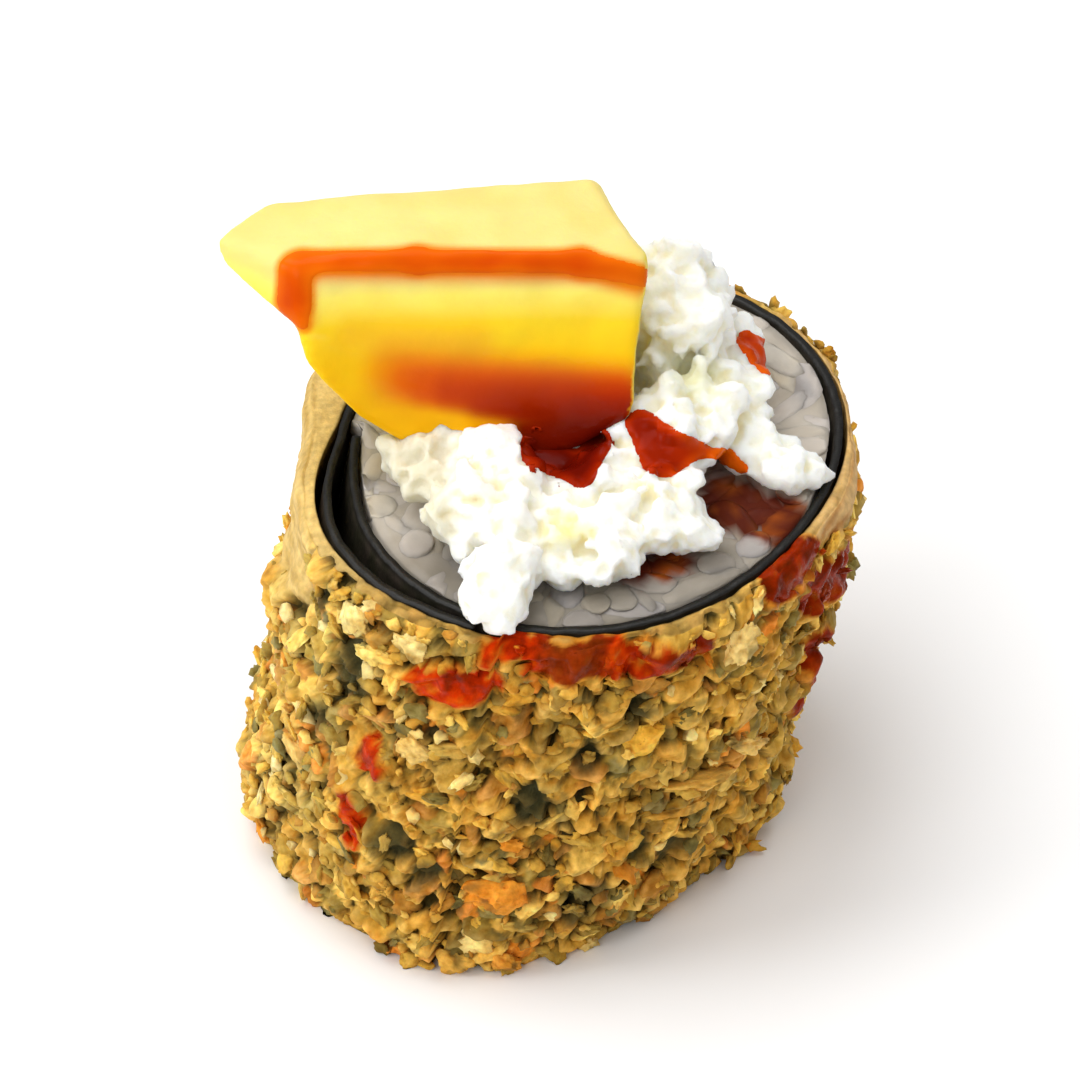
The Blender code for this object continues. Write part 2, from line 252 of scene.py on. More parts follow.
def sheet_face(degrees, z, outer):
    """Outermost or innermost face of the sheet in this direction."""
    pick, none = (np.maximum, -99.0) if outer else (np.minimum, 99.0)
    best = None
    for off in range(-6, 7, 2):
        for turn in (0, 360, 720):
            d = (degrees + off) % 360 + turn
            r = np.where((d >= SHEET_START) & (d <= SHEET_END), winding(d, z), none)
            best = r if best is None else pick(best, r)
    return best + (NORI / 2 if outer else -NORI / 2)


def _coat_lumps():
    table = np.zeros((181, 66))
    for i in range(181):
        a = math.radians(i * 2)
        for j in range(66):
            at = Vector((16 * math.cos(a), 16 * math.sin(a), j * 0.4))
            table[i, j] = noise.noise(at / 3.4)
            table[i, j] += 0.6 * noise.noise(at / 1.9 + Vector((7, 0, 0)))
    return table


LUMPS = _coat_lumps()


def coat_wall(degrees, z):
    """Outer radius of the crumb coat, as the model has it."""
    degrees, z = np.broadcast_arrays(degrees, z)
    r = sheet_face(degrees, z, True) + COAT
    low, high = COAT_HEAVY_Z
    side = np.maximum(0, np.cos(np.radians(degrees - COAT_HEAVY_AT))) ** 6
    r = r + COAT_HEAVY * smooth((z - low) / (high - low)) * side
    for at, bump_z, out, spread in COAT_BUMPS:
        off = np.radians((degrees - at + 180) % 360 - 180) * RADIUS
        r = r + out * np.exp(-(off**2 + (z - bump_z) ** 2) / (2 * spread**2))
    u, v = (degrees % 360) / 2, np.clip(z, 0, 25.9) / 0.4
    i, j = np.floor(u).astype(int), np.floor(v).astype(int)
    fu, fv = u - i, v - j
    lumps = (
        LUMPS[i, j] * (1 - fu) * (1 - fv)
        + LUMPS[i + 1, j] * fu * (1 - fv)
        + LUMPS[i, j + 1] * (1 - fu) * fv
        + LUMPS[i + 1, j + 1] * fu * fv
    )
    r = r + COAT_LUMPS * lumps * smooth((HEIGHT + 1 - z) / 5)
    r = r - 0.6 * (1 - smooth(z / 2.2))
    return r - 0.55 * smooth((z - HEIGHT + 1.5) / 1.5) ** 2


def around(degrees, r, z):
    """Points of the roll, leaning as it does."""
    a = np.radians(degrees)
    return np.stack([r * np.cos(a) + LEAN * z / HEIGHT, r * np.sin(a), z + 0 * r], axis=-1)


def heading(points):
    """Degrees round the roll and distance from its middle."""
    x = points[:, 0] - LEAN * points[:, 2] / HEIGHT
    return np.degrees(np.arctan2(points[:, 1], x)) % 360, np.hypot(x, points[:, 1])


# Meshes

def new_piece(name, points, faces, tint, rough=None, smooth_shaded=True):
    """A mesh from points in millimetres, with its colours and roughness."""
    mesh = bpy.data.meshes.new(name)
    faces = [np.asarray(f) for f in faces if len(f)]
    loops = np.concatenate([f.ravel() for f in faces])
    sizes = np.concatenate([np.full(len(f), f.shape[1]) for f in faces])
    starts = np.concatenate([[0], np.cumsum(sizes)[:-1]])
    mesh.vertices.add(len(points))
    mesh.loops.add(len(loops))
    mesh.polygons.add(len(sizes))
    mesh.vertices.foreach_set("co", (points * MM).astype(np.float32).ravel())
    mesh.loops.foreach_set("vertex_index", loops.astype(np.int32))
    mesh.polygons.foreach_set("loop_start", starts.astype(np.int32))
    mesh.polygons.foreach_set("use_smooth", np.full(len(sizes), smooth_shaded))
    mesh.update(calc_edges=True)
    mesh.validate()
    colour = mesh.attributes.new("tint", "FLOAT_COLOR", "POINT")
    rgba = np.ones((len(points), 4), np.float32)
    rgba[:, :3] = np.clip(tint, 0, 1)
    colour.data.foreach_set("color", rgba.ravel())
    if rough is not None:
        value = mesh.attributes.new("rough", "FLOAT", "POINT")
        value.data.foreach_set(
            "value", np.broadcast_to(rough, len(points)).astype(np.float32)
        )
    piece = bpy.data.objects.new(name, mesh)
    bpy.context.scene.collection.objects.link(piece)
    return piece


def grown(points, faces, voxel):
    """The closed skin round all that is in points and faces: points, quads and
    normals."""
    piece = new_piece("grown", points, faces, np.ones(3))
    skin = piece.modifiers.new("skin", "REMESH")
    skin.mode = "VOXEL"
    skin.voxel_size = voxel * MM
    mesh = bpy.data.meshes.new_from_object(
        piece.evaluated_get(bpy.context.evaluated_depsgraph_get())
    )
    found = read_mesh(mesh)
    bpy.data.meshes.remove(mesh)
    bpy.data.objects.remove(piece)
    return found


def read_mesh(mesh):
    p = np.empty(len(mesh.vertices) * 3, np.float32)
    mesh.vertices.foreach_get("co", p)
    n = np.empty(len(mesh.vertices) * 3, np.float32)
    mesh.vertex_normals.foreach_get("vector", n)
    sizes = np.empty(len(mesh.polygons), np.int32)
    mesh.polygons.foreach_get("loop_total", sizes)
    starts = np.empty(len(mesh.polygons), np.int32)
    mesh.polygons.foreach_get("loop_start", starts)
    loops = np.empty(len(mesh.loops), np.int32)
    mesh.loops.foreach_get("vertex_index", loops)
    faces = []
    for size in np.unique(sizes):
        at = starts[sizes == size]
        faces.append(loops[at[:, None] + np.arange(size)])
    return p.reshape(-1, 3).astype(float) / MM, faces, n.reshape(-1, 3).astype(float)


def normals_of(points, faces):
    """Vertex normals of a mesh of triangles and quads."""
    out = np.zeros_like(points)
    for f in faces:
        n = np.cross(points[f[:, 1]] - points[f[:, 0]], points[f[:, -1]] - points[f[:, 0]])
        for c in range(f.shape[1]):
            np.add.at(out, f[:, c], n)
    return out / np.maximum(np.linalg.norm(out, axis=1), 1e-9)[:, None]


def evened(values, faces, rounds, keep=0.5):
    """values smoothed along the mesh's edges."""
    pairs = np.concatenate(
        [np.stack([f[:, c], f[:, (c + 1) % f.shape[1]]], 1) for f in faces for c in range(f.shape[1])]
    )
    pairs = np.concatenate([pairs, pairs[:, ::-1]])
    count = np.bincount(pairs[:, 0], minlength=len(values)).astype(float)
    count = np.maximum(count, 1)
    values = values.copy()
    flat = values.reshape(len(values), -1)
    for _ in range(rounds):
        for c in range(flat.shape[1]):
            mean = np.bincount(pairs[:, 0], flat[pairs[:, 1], c], minlength=len(flat)) / count
            flat[:, c] = keep * flat[:, c] + (1 - keep) * mean
    return flat.reshape(values.shape)


def spread(values, faces, rounds):
    """values raised to the highest near by, a few edges away."""
    sides = np.concatenate([np.stack([f[:, c], f[:, (c + 1) % f.shape[1]]], 1) for f in faces for c in range(f.shape[1])])
    values = values.copy()
    for _ in range(rounds):
        before = values.copy()
        np.maximum.at(values, sides[:, 0], before[sides[:, 1]])
        np.maximum.at(values, sides[:, 1], before[sides[:, 0]])
    return values


def bodies_of(count, faces):
    """A number for each point, the same for all the points of a body."""
    sides = np.concatenate([np.stack([f[:, c], f[:, (c + 1) % f.shape[1]]], 1) for f in faces for c in range(f.shape[1])])
    label = np.arange(count)
    while True:
        before = label.copy()
        np.minimum.at(label, sides[:, 0], before[sides[:, 1]])
        np.minimum.at(label, sides[:, 1], before[sides[:, 0]])
        label = label[label]
        if (label == before).all():
            return label


def largest(points, faces, normals):
    """The largest of the bodies that a mesh falls into."""
    label = bodies_of(len(points), faces)
    keep = label == np.bincount(label).argmax()
    new = np.cumsum(keep) - 1
    faces = [new[f[keep[f[:, 0]]]] for f in faces]
    return points[keep], [f for f in faces if len(f)], normals[keep]


def ball(fineness):
    bm = bmesh.new()
    bmesh.ops.create_icosphere(bm, subdivisions=fineness, radius=1)
    bm.verts.ensure_lookup_table()
    points = np.array([v.co[:] for v in bm.verts])
    faces = np.array([[v.index for v in f.verts] for f in bm.faces])
    bm.free()
    return points, faces


def turned(rng, count, up=None, tilt=math.pi):
    """Random rotations; their third axis stays within tilt of up, where given."""
    if up is None:
        up = rng.normal(size=(count, 3))
        up /= np.linalg.norm(up, axis=1)[:, None]
    away = rng.normal(size=(count, 3))
    away /= np.linalg.norm(away, axis=1)[:, None]
    z = up + away * (math.tan(min(tilt, 1.4)) * rng.random(count)[:, None])
    z /= np.linalg.norm(z, axis=1)[:, None]
    x = np.cross(rng.normal(size=(count, 3)), z)
    x /= np.linalg.norm(x, axis=1)[:, None]
    return np.stack([x, np.cross(z, x), z], axis=-1)


def copies(shapes, faces, which, turns, sizes, places):
    """One joined mesh of many copies. shapes is (kinds, points, 3)."""
    local = shapes[which] * sizes[:, None, None]
    points = np.einsum("nij,nkj->nki", turns, local) + places[:, None, :]
    per = shapes.shape[1]
    many = faces[None] + (np.arange(len(which)) * per)[:, None, None]
    return points.reshape(-1, 3), many.reshape(-1, faces.shape[1])


def strewn(rng, width, low, high, gap, tries, wraps=True):
    """Points no nearer to each other than gap on a strip width long."""
    size = gap / math.sqrt(2)
    across = max(1, int(width / size))
    cell = width / across
    found, grid = [], {}
    for s, z in zip(rng.random(tries) * width, low + rng.random(tries) * (high - low)):
        i, j = int(s / cell), int(z / cell)
        near = False
        for di in (-2, -1, 0, 1, 2):
            for dj in (-2, -1, 0, 1, 2):
                key = ((i + di) % across if wraps else i + di, j + dj)
                for q in grid.get(key, ()):
                    ds = abs(found[q][0] - s)
                    ds = min(ds, width - ds) if wraps else ds
                    if ds * ds + (found[q][1] - z) ** 2 < gap * gap:
                        near = True
                        break
                if near:
                    break
            if near:
                break
        if not near:
            grid.setdefault((i % across if wraps else i, j), []).append(len(found))
            found.append((s, z))
    return np.array(found)


def near_lines(x, y, lines):
    """For each line (x, y, x, y, half width, half width, ...): how far inside it
    each point is, and how far along."""
    out = []
    for line in lines:
        a, b = np.array(line[:2], float), np.array(line[2:4], float)
        d = b - a
        along = np.clip(((x - a[0]) * d[0] + (y - a[1]) * d[1]) / (d @ d), 0, 1)
        far = np.hypot(x - a[0] - along * d[0], y - a[1] - along * d[1])
        out.append((mix(line[4], line[5], along) - far, along))
    return out


def sauce_depth(x, v, lines, soft=0.28):
    """How far inside a soft union of the lines each point is, and how deep the
    sauce's colour is there."""
    total, weight, tone = 0.0, 0.0, 0.0
    for line, (inside, along) in zip(lines, near_lines(x, v, lines)):
        total = total + np.exp(np.clip(inside / soft, -60, 60))
        w = np.exp(np.clip(inside / 0.7, -60, 60))
        weight = weight + w
        tone = tone + w * mix(line[6], line[7], along)
    return soft * np.log(total + 1e-30), tone / weight


def sight(points):
    """X, V and nearness of points, on a plane square to the line of sight."""
    return (
        points[..., 0],
        points[..., 1] * FLAT + points[..., 2] * STEEP,
        -points[..., 1] * STEEP + points[..., 2] * FLAT,
    )


# Materials

def finish_of(name, roughness=None, grain=(), tone=None, tinted=0.0, **sockets):
    """A material that takes its colour from the piece. grain: bumps as (scale per
    metre, detail, height in metres); tone: (scale per metre, darkest) mottling;
    tinted: how far the shine has the colour too."""
    mat = bpy.data.materials.new(name)
    mat.use_nodes = True
    tree = mat.node_tree
    nodes, links = tree.nodes, tree.links
    shader = nodes["Principled BSDF"]
    for key, value in sockets.items():
        shader.inputs[key.replace("_", " ")].default_value = value
    tint = nodes.new("ShaderNodeAttribute")
    tint.attribute_name = "tint"
    where = nodes.new("ShaderNodeTexCoord")
    colour = tint.outputs["Color"]
    if tone:
        scale, darkest = tone
        mottle = nodes.new("ShaderNodeTexNoise")
        mottle.inputs["Scale"].default_value = scale
        mottle.inputs["Detail"].default_value = 3
        links.new(where.outputs["Object"], mottle.inputs["Vector"])
        spread = nodes.new("ShaderNodeMapRange")
        spread.inputs["From Min"].default_value = 0.3
        spread.inputs["From Max"].default_value = 0.7
        spread.inputs["To Min"].default_value = darkest
        spread.inputs["To Max"].default_value = 2 - darkest
        links.new(mottle.outputs["Fac"], spread.inputs["Value"])
        times = nodes.new("ShaderNodeVectorMath")
        times.operation = "SCALE"
        links.new(colour, times.inputs[0])
        links.new(spread.outputs["Result"], times.inputs["Scale"])
        colour = times.outputs["Vector"]
    links.new(colour, shader.inputs["Base Color"])
    if tinted:
        shine = nodes.new("ShaderNodeVectorMath")
        shine.operation = "MULTIPLY_ADD"
        shine.inputs[1].default_value = (tinted,) * 3
        shine.inputs[2].default_value = (1 - tinted,) * 3
        links.new(colour, shine.inputs[0])
        links.new(shine.outputs["Vector"], shader.inputs["Specular Tint"])
    if roughness is None:
        rough = nodes.new("ShaderNodeAttribute")
        rough.attribute_name = "rough"
        links.new(rough.outputs["Fac"], shader.inputs["Roughness"])
    else:
        shader.inputs["Roughness"].default_value = roughness
    last = None
    for scale, detail, height in grain:
        pores = nodes.new("ShaderNodeTexNoise")
        pores.inputs["Scale"].default_value = scale
        pores.inputs["Detail"].default_value = detail
        links.new(where.outputs["Object"], pores.inputs["Vector"])
        bump = nodes.new("ShaderNodeBump")
        bump.inputs["Strength"].default_value = 1
        bump.inputs["Distance"].default_value = height
        links.new(pores.outputs["Fac"], bump.inputs["Height"])
        if last:
            links.new(last.outputs["Normal"], bump.inputs["Normal"])
        last = bump
    if last:
        links.new(last.outputs["Normal"], shader.inputs["Normal"])
    return mat


def dress(piece, mat, node=None):
    piece.data.materials.append(mat)
    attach(piece, "root")
    if node:
        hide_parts(node)
    return piece


# The coat

# painted shade between the crumbs, over the dark of the nori through thin batter
GAP_SHADE_COLOUR = srgb(66, 56, 26)
SHELL_PALETTE = (
    (26, srgb(208, 156, 58)),
    (18, srgb(184, 144, 58)),
    (18, srgb(226, 180, 80)),
    (14, srgb(160, 130, 54)),
    (9, srgb(192, 134, 52)),
    (6, srgb(136, 118, 60)),
    (2, srgb(214, 134, 42)),
)
CREST_PALETTE = (
    (28, srgb(216, 166, 64)),
    (20, srgb(194, 152, 62)),
    (20, srgb(232, 188, 90)),
    (9, srgb(240, 208, 128)),
    (13, srgb(168, 136, 58)),
    (8, srgb(196, 138, 54)),
    (3, srgb(218, 140, 44)),
    (4, srgb(136, 120, 62)),
)
DARK_SPOTS = (  # degrees, height, half width
    (226, 19.5, 1.6),
    (283, 4.9, 1.7),
    (242, 9.2, 1.2),
    (250, 7.6, 0.8),
    (213, 22.6, 0.9),
    (219, 15.0, 0.9),
    (292, 8.2, 0.9),
    (303, 6.8, 1.0),
    (267, 13.4, 1.3),
    (276, 16.8, 1.0),
    (284, 20.2, 0.9),
    (96, 12.0, 1.4),
    (40, 8.0, 1.2),
    (150, 6.0, 1.3),
    (20, 14.0, 1.0),
    (118, 20.0, 1.1),
    (70, 4.0, 1.2),
    (180, 12.0, 1.1),
)
BIG_CRUMBS = (  # degrees, height, half length, its width as a share, turn from level, colour
    (264, 6.9, 2.2, 0.78, 12, srgb(232, 150, 48)),
    (286, 17.8, 1.6, 0.85, 40, srgb(236, 182, 66)),
    (258, 0.9, 1.5, 0.7, 10, srgb(226, 172, 74)),
    (268, 0.8, 1.2, 0.8, -20, srgb(226, 160, 62)),
    (312, 16.0, 1.5, 0.7, 60, srgb(206, 160, 76)),
    (243, 17.0, 1.3, 0.8, 30, srgb(226, 188, 106)),
    (215, 11.0, 1.4, 0.7, -40, srgb(216, 172, 86)),
    (224, 23.6, 1.6, 0.7, 20, srgb(232, 200, 116)),
    (238, 24.0, 1.3, 0.7, -15, srgb(224, 194, 118)),
    (306, 22.6, 1.6, 0.75, 70, srgb(230, 196, 118)),
    (303, 12.3, 3.2, 0.24, -18, srgb(228, 176, 80)),
    (301, 10.4, 2.6, 0.26, -14, srgb(216, 164, 70)),
    (314, 13.4, 2.1, 0.3, -30, srgb(230, 188, 102)),
    (231, 22.3, 2.0, 0.28, 14, srgb(230, 194, 98)),
    (120, 15.0, 1.6, 0.7, 10, srgb(220, 172, 84)),
    (62, 9.5, 1.4, 0.8, 50, srgb(210, 144, 54)),
    (20, 17.0, 1.3, 0.8, -30, srgb(222, 178, 92)),
    (160, 3.5, 1.3, 0.7, 0, srgb(208, 146, 58)),
    (85, 13.0, 2.6, 0.28, 20, srgb(218, 170, 80)),
    (44, 19.0, 2.2, 0.3, -25, srgb(226, 180, 92)),
)
SAUCE_STOPS = (
    (0.0, srgb(244, 196, 36)),
    (0.2, srgb(236, 150, 14)),
    (0.38, srgb(226, 104, 5)),
    (0.55, srgb(206, 72, 2)),
    (0.72, srgb(168, 40, 2)),
    (0.88, srgb(122, 20, 2)),
    (1.0, srgb(92, 11, 2)),
)
# painted light: the front paler up towards its top edge, with a highlight band near it, and the top paler still
AVOCADO_LOW, AVOCADO_MIDDLE, AVOCADO_UPPER = srgb(248, 184, 6), srgb(248, 198, 14), srgb(248, 212, 38)
AVOCADO_HIGHLIGHT, AVOCADO_LIT_TOP = srgb(249, 230, 106), srgb(229, 210, 128)
CURD_WHITE, CURD_HOLLOW_SHADE = srgb(243, 243, 236), srgb(238, 228, 186)


def coat_sauce(degrees, z, wobble=None):
    """How far the sauce covers the coat, 0 to 1."""
    out = np.zeros(np.broadcast(degrees, z).shape)
    for d1, z1, d2, z2, half in COAT_SAUCE:
        # unrolled round the middle of the stroke, so that it doesn't wrap
        middle = (d1 + d2) / 2
        s = ((degrees - middle + 180) % 360 - 180) * 0.285
        line = ((d1 - middle) * 0.285, z1, (d2 - middle) * 0.285, z2, half, half)
        inside = near_lines(s, z, (line,))[0][0]
        if wobble is not None:
            inside = inside + wobble
        out = np.maximum(out, smooth(inside / 0.7 + 0.4))
    return out


def bare(degrees, z):
    """Where the coat is smooth batter and cut face, 0 to 1."""
    off = np.abs((degrees - 172 + 180) % 360 - 180)
    left = smooth((42 - off) / 10) * smooth((z - 18.3 - 0.03 * off) / 1.6)
    off = np.abs((degrees - 352 + 180) % 360 - 180)
    ragged = 0.5 * np.sin(degrees * 0.21) + 0.4 * np.sin(degrees * 0.53 + 1)
    return np.maximum(left, smooth((36 - off) / 10) * smooth((z - 22.9 - 0.02 * off - ragged) / 0.9))


def dark_spots(degrees, z):
    """Where the coat is thin and dark, 0 to 1."""
    out = np.zeros(np.broadcast(degrees, z).shape)
    for at, high, half in DARK_SPOTS:
        s = ((degrees - at + 180) % 360 - 180) * 0.285
        out = np.maximum(out, smooth((half - np.hypot(s, (z - high) * 0.8)) / 0.8 + 0.4))
    return out


def crumb_colours(rng, places, palette):
    """A colour for each crumb: like crumbs lie near each other."""
    patch = perlin(places / 3.4, 21)
    draw = np.clip(rng.random(len(places)) + 0.3 * patch, 0, 0.999)
    levels = np.cumsum([w for w, _ in palette])
    pick = np.searchsorted(levels / levels[-1], draw)
    base = np.array([c for _, c in palette])[np.clip(pick, 0, len(palette) - 1)]
    return base * rng.uniform(0.8, 1.18, len(places))[:, None]


def thin(points):
    """Patches a millimetre or so wide: high where the crumbs stand apart."""
    return perlin(points / 1.15, 26) + 0.35 * perlin(points / 0.5, 28)


def aged(points, colour, crest):
    """Frying: toasted flecks and patches of brown, dark where the coat is thin; crests painted lighter as a painted
    highlight, and the left side painted paler as if lit.
    """
    fleck = perlin(points / 0.4, 22)
    broad = perlin(points / 2.2, 23)
    colour = mix(colour, colour * srgb(224, 198, 150), smooth(fleck * 1.3) * 0.8)
    # painted highlight on the crests
    colour = mix(colour, colour * 1.2 + 0.012, smooth(-fleck * 1.2) * crest)
    colour = mix(colour, colour * srgb(236, 208, 156), smooth(broad * 1.5) * 0.6)
    patch = thin(points)
    degrees, _ = heading(points)
    # painted light: the left side paler, with fewer dark patches, as if lit from there
    lit_left = smooth((44 - np.abs((degrees - 200 + 180) % 360 - 180)) / 26)
    colour = mix(colour, srgb(84, 76, 42), smooth((patch - 0.22) / 0.4) * 0.6 * (1 - 0.65 * lit_left))
    colour = mix(colour, colour * (1.3, 1.36, 1.5) + 0.01, smooth((-patch - 0.18) / 0.4) * 0.75 * (1 - 0.3 * lit_left))
    return mix(colour, colour * (1.05, 1.18, 1.5), lit_left)


def sauce_on_crumbs(points):
    fleck = perlin(points / 1.3, 24) + 0.6 * perlin(points / 0.45, 25)
    degrees, _ = heading(points)
    # painted shade, with darker sauce: the sauce on the right side at half its brightness
    right = smooth((np.cos(np.radians(degrees + 20)) - 0.35) / 0.4)
    brown = smooth((9 - np.abs(degrees - 269)) / 5)
    found = mix(1.0, 0.5, right)[:, None] * ramp(
        0.45 + 0.5 * fleck,
        (0, srgb(104, 12, 0)), (0.3, srgb(158, 26, 0)), (0.55, srgb(194, 38, 0)),
        (0.78, srgb(208, 70, 4)), (1, srgb(216, 136, 38)),
    )
    return mix(found, srgb(96, 32, 4), brown * 0.75)


def sauced(points, colour, sauce):
    """Colours under sauce: amber where it thins out."""
    colour = mix(colour, colour * 0.35 + srgb(214, 132, 30) * 0.65, smooth(sauce / 0.4))
    return mix(colour, sauce_on_crumbs(points), smooth((sauce - 0.3) / 0.45) * 0.96)


def crest_of(rng, columns, rows, top, width, relief, owner, layer):
    """Bread crumbs stamped side by side on the unrolled wall: raises relief, and
    notes in owner which crumb each place belongs to. layer: places, sizes, number
    of the first, lowest and highest lift."""
    spots, sizes, first, low, high_lift = layer
    ds, dz = width / columns, top / (rows - 1)
    gs, gz = np.meshgrid(np.arange(columns) * 360 / columns, np.arange(rows) * dz)
    q = around(gs, 16.3 + 0 * gs, gz).reshape(-1, 3)
    warp_s = perlin(q / 1.0, 16).reshape(rows, columns)
    warp_z = perlin(q / 1.0, 17).reshape(rows, columns)
    for k, (s0, z0) in enumerate(spots):
        a = sizes[k]
        b = a * rng.uniform(0.4, 0.85)
        high = min(a, 1.1) * rng.uniform(0.5, 0.85)
        lift = rng.uniform(low, high_lift)
        reach = a * 1.5
        i = np.arange(int((s0 - reach) / ds), int((s0 + reach) / ds) + 2)
        j = np.arange(max(int((z0 - reach) / dz), 0), min(int((z0 + reach) / dz) + 2, rows))
        if not len(j):
            continue
        at = np.ix_(j, i % columns)
        u = (i * ds - s0)[None] + 0.4 * warp_s[at]
        v = (j * dz - z0)[:, None] + 0.4 * warp_z[at]
        turn = rng.random() * math.pi
        uu, vv = u * math.cos(turn) + v * math.sin(turn), v * math.cos(turn) - u * math.sin(turn)
        rho = np.abs(uu / a) ** 2.4 + np.abs(vv / b) ** 2.4
        h = high * np.sqrt(np.clip(1 - rho, 0, 1))
        for _ in range(rng.integers(1, 4)):  # broken faces
            lean_u, lean_v = rng.normal(size=2) * 0.7
            h = np.minimum(h, high * rng.uniform(0.5, 0.95) + lean_u * uu + lean_v * vv)
        h = h + lift
        better = (rho < 1) & (h > relief[at])
        for field, value in ((relief, h), (owner, np.full(h.shape, first + k))):
            block = field[at]
            block[better] = value[better]
            field[at] = block


def make_shell():
    """The batter and the crumbs stuck in it: a ring body with a craggy wall, a
    smooth cut edge on top, and the hole that the wrapped roll fills."""
    rng = np.random.default_rng(70)
    columns, rows = 600, 144
    degrees = np.arange(columns) * 360 / columns
    top = HEIGHT - COAT_RIM_DROP
    width = 2 * math.pi * 16.3
    z = (top - 0.05) * np.linspace(0, 1, rows)
    d, h = np.meshgrid(degrees, z)
    wall = np.stack([16 * np.cos(np.radians(d)), 16 * np.sin(np.radians(d)), h], -1).reshape(-1, 3)
    smoothness = bare(d, h)
    dark = dark_spots(d, h)
    relief = -0.72 + 0.10 * perlin(wall / 0.8, 18).reshape(d.shape)
    owner = np.full((rows, columns), -1)
    small = strewn(rng, width, 0.0, top - 0.2, 0.66, 50000)
    large = strewn(rng, width, 0.0, top - 0.3, 1.25, 16000)
    sizes = np.clip(rng.gamma(6.0, 0.08, len(small)) + 0.15, 0.3, 0.9)
    crest_of(rng, columns, rows, top, width, relief, owner, (small, sizes, 0, -0.62, -0.18))
    sizes = np.clip(rng.gamma(6.0, 0.13, len(large)) + 0.35, 0.6, 1.9)
    crest_of(rng, columns, rows, top, width, relief, owner, (large, sizes, len(small), -0.42, 0.08))
    spots = np.concatenate([small, large])
    relief += 0.06 * perlin(wall / 0.42, 2).reshape(d.shape) + 0.03 * perlin(wall / 0.22, 19).reshape(d.shape)
    relief = relief - 0.35 * dark - 0.3 * smooth((thin(wall) - 0.25) / 0.4).reshape(d.shape)
    glaze = coat_sauce(d, h, 0.4 * perlin(wall / 1.3, 15).reshape(d.shape))
    even = evened_grid(relief, 5)
    relief = mix(relief, even + 0.16 + 0.3 * (relief - even), glaze)
    edges = smooth(h / 0.5) * smooth((top - h) / 0.35)
    calm = 0.10 * perlin(wall / 1.5, 8).reshape(d.shape) + 0.05 * perlin(wall / 0.5, 9).reshape(d.shape)
    r = coat_wall(d, h) - mix(0.32, 0.2, smoothness) + mix(relief, calm, smoothness) * mix(0.45, 1.0, edges)
    hole = sheet_face(degrees, np.full(columns, top), True) + 0.05
    r = np.maximum(r, sheet_face(d, h, True) + 0.3)
    parts, kinds, lows, owners = [(d, r, h)], [np.zeros_like(d)], [relief], [owner]
    none = np.full((1, columns), -1)
    hollow = [evened_grid(relief, 10) - relief]

    def add(rr, zz, kind):
        parts.append((degrees[None], rr[None], zz[None]))
        kinds.append(np.full((1, columns), kind))
        lows.append(np.zeros((1, columns)))
        hollow.append(np.zeros((1, columns)))
        owners.append(none)

    outer = r[-1]
    crumbly = 1 - smooth((56 - np.abs((degrees - 172 + 180) % 360 - 180)) / 14)
    crumbly = crumbly * (1 - 0.85 * smooth((40 - np.abs((degrees - 8 + 180) % 360 - 180)) / 12))
    for k in range(1, 12):  # across the cut edge, in to the nori
        s = k / 11
        rr = mix(outer, hole, s)
        flat = np.stack([rr * np.cos(np.radians(degrees)), rr * np.sin(np.radians(degrees)), 0 * rr], -1)
        wave = 0.12 * perlin(flat / 1.6, 6) + 0.08 * perlin(flat / 0.55, 7)
        f1, _, _ = cells(flat / 1.05, 27)
        wave = wave + crumbly * (0.34 * np.clip(1 - 1.7 * f1 * f1, -0.5, 1) - 0.05)
        zz = top + 0.10 - 0.30 * (1 - s) ** 3 + wave * math.sin(math.pi * min(s + 0.12, 0.85))
        add(rr, zz, s)
    for zz in (top - 1.2, 18.0, 12.0, 6.0, 1.0, 0.12):  # down inside
        add(sheet_face(degrees, np.full(columns, zz), True) + 0.08, np.full(columns, zz), 2.0)
    for k in (0.25, 0.5, 0.75):  # across the foot
        rr = mix(sheet_face(degrees, np.full(columns, 0.0), True) + 0.1, r[0], k)
        add(rr, np.full(columns, 0.02), 3.0)
    d, r, h = (np.concatenate([q[n] for q in parts]) for n in range(3))
    kind, low, owner = (np.concatenate(q) for q in (kinds, lows, owners))
    points = around(d, r, h).reshape(-1, 3)
    total = len(d)
    i, j = np.meshgrid(np.arange(columns), np.arange(total))
    right, up = (i + 1) % columns, (j + 1) % total
    faces = np.stack([j * columns + i, j * columns + right, up * columns + right, up * columns + i], -1)
    # colours
    dd, hh, kk, depth, own = (q.ravel() for q in (d, h, kind, low, owner))
    chosen = crumb_colours(rng, around(spots[:, 0] / width * 360, 16.3 + 0 * spots[:, 1], spots[:, 1]), SHELL_PALETTE)
    colour = np.where((own >= 0)[:, None], chosen[np.clip(own, 0, None)], GAP_SHADE_COLOUR)
    sunk = np.concatenate(hollow).ravel()
    # painted shade: darker the deeper a place lies and the more it is sunk below its neighbours
    colour = mix(GAP_SHADE_COLOUR, colour, smooth((depth + 0.62) / 0.6) * smooth(1.1 - sunk / 0.34))
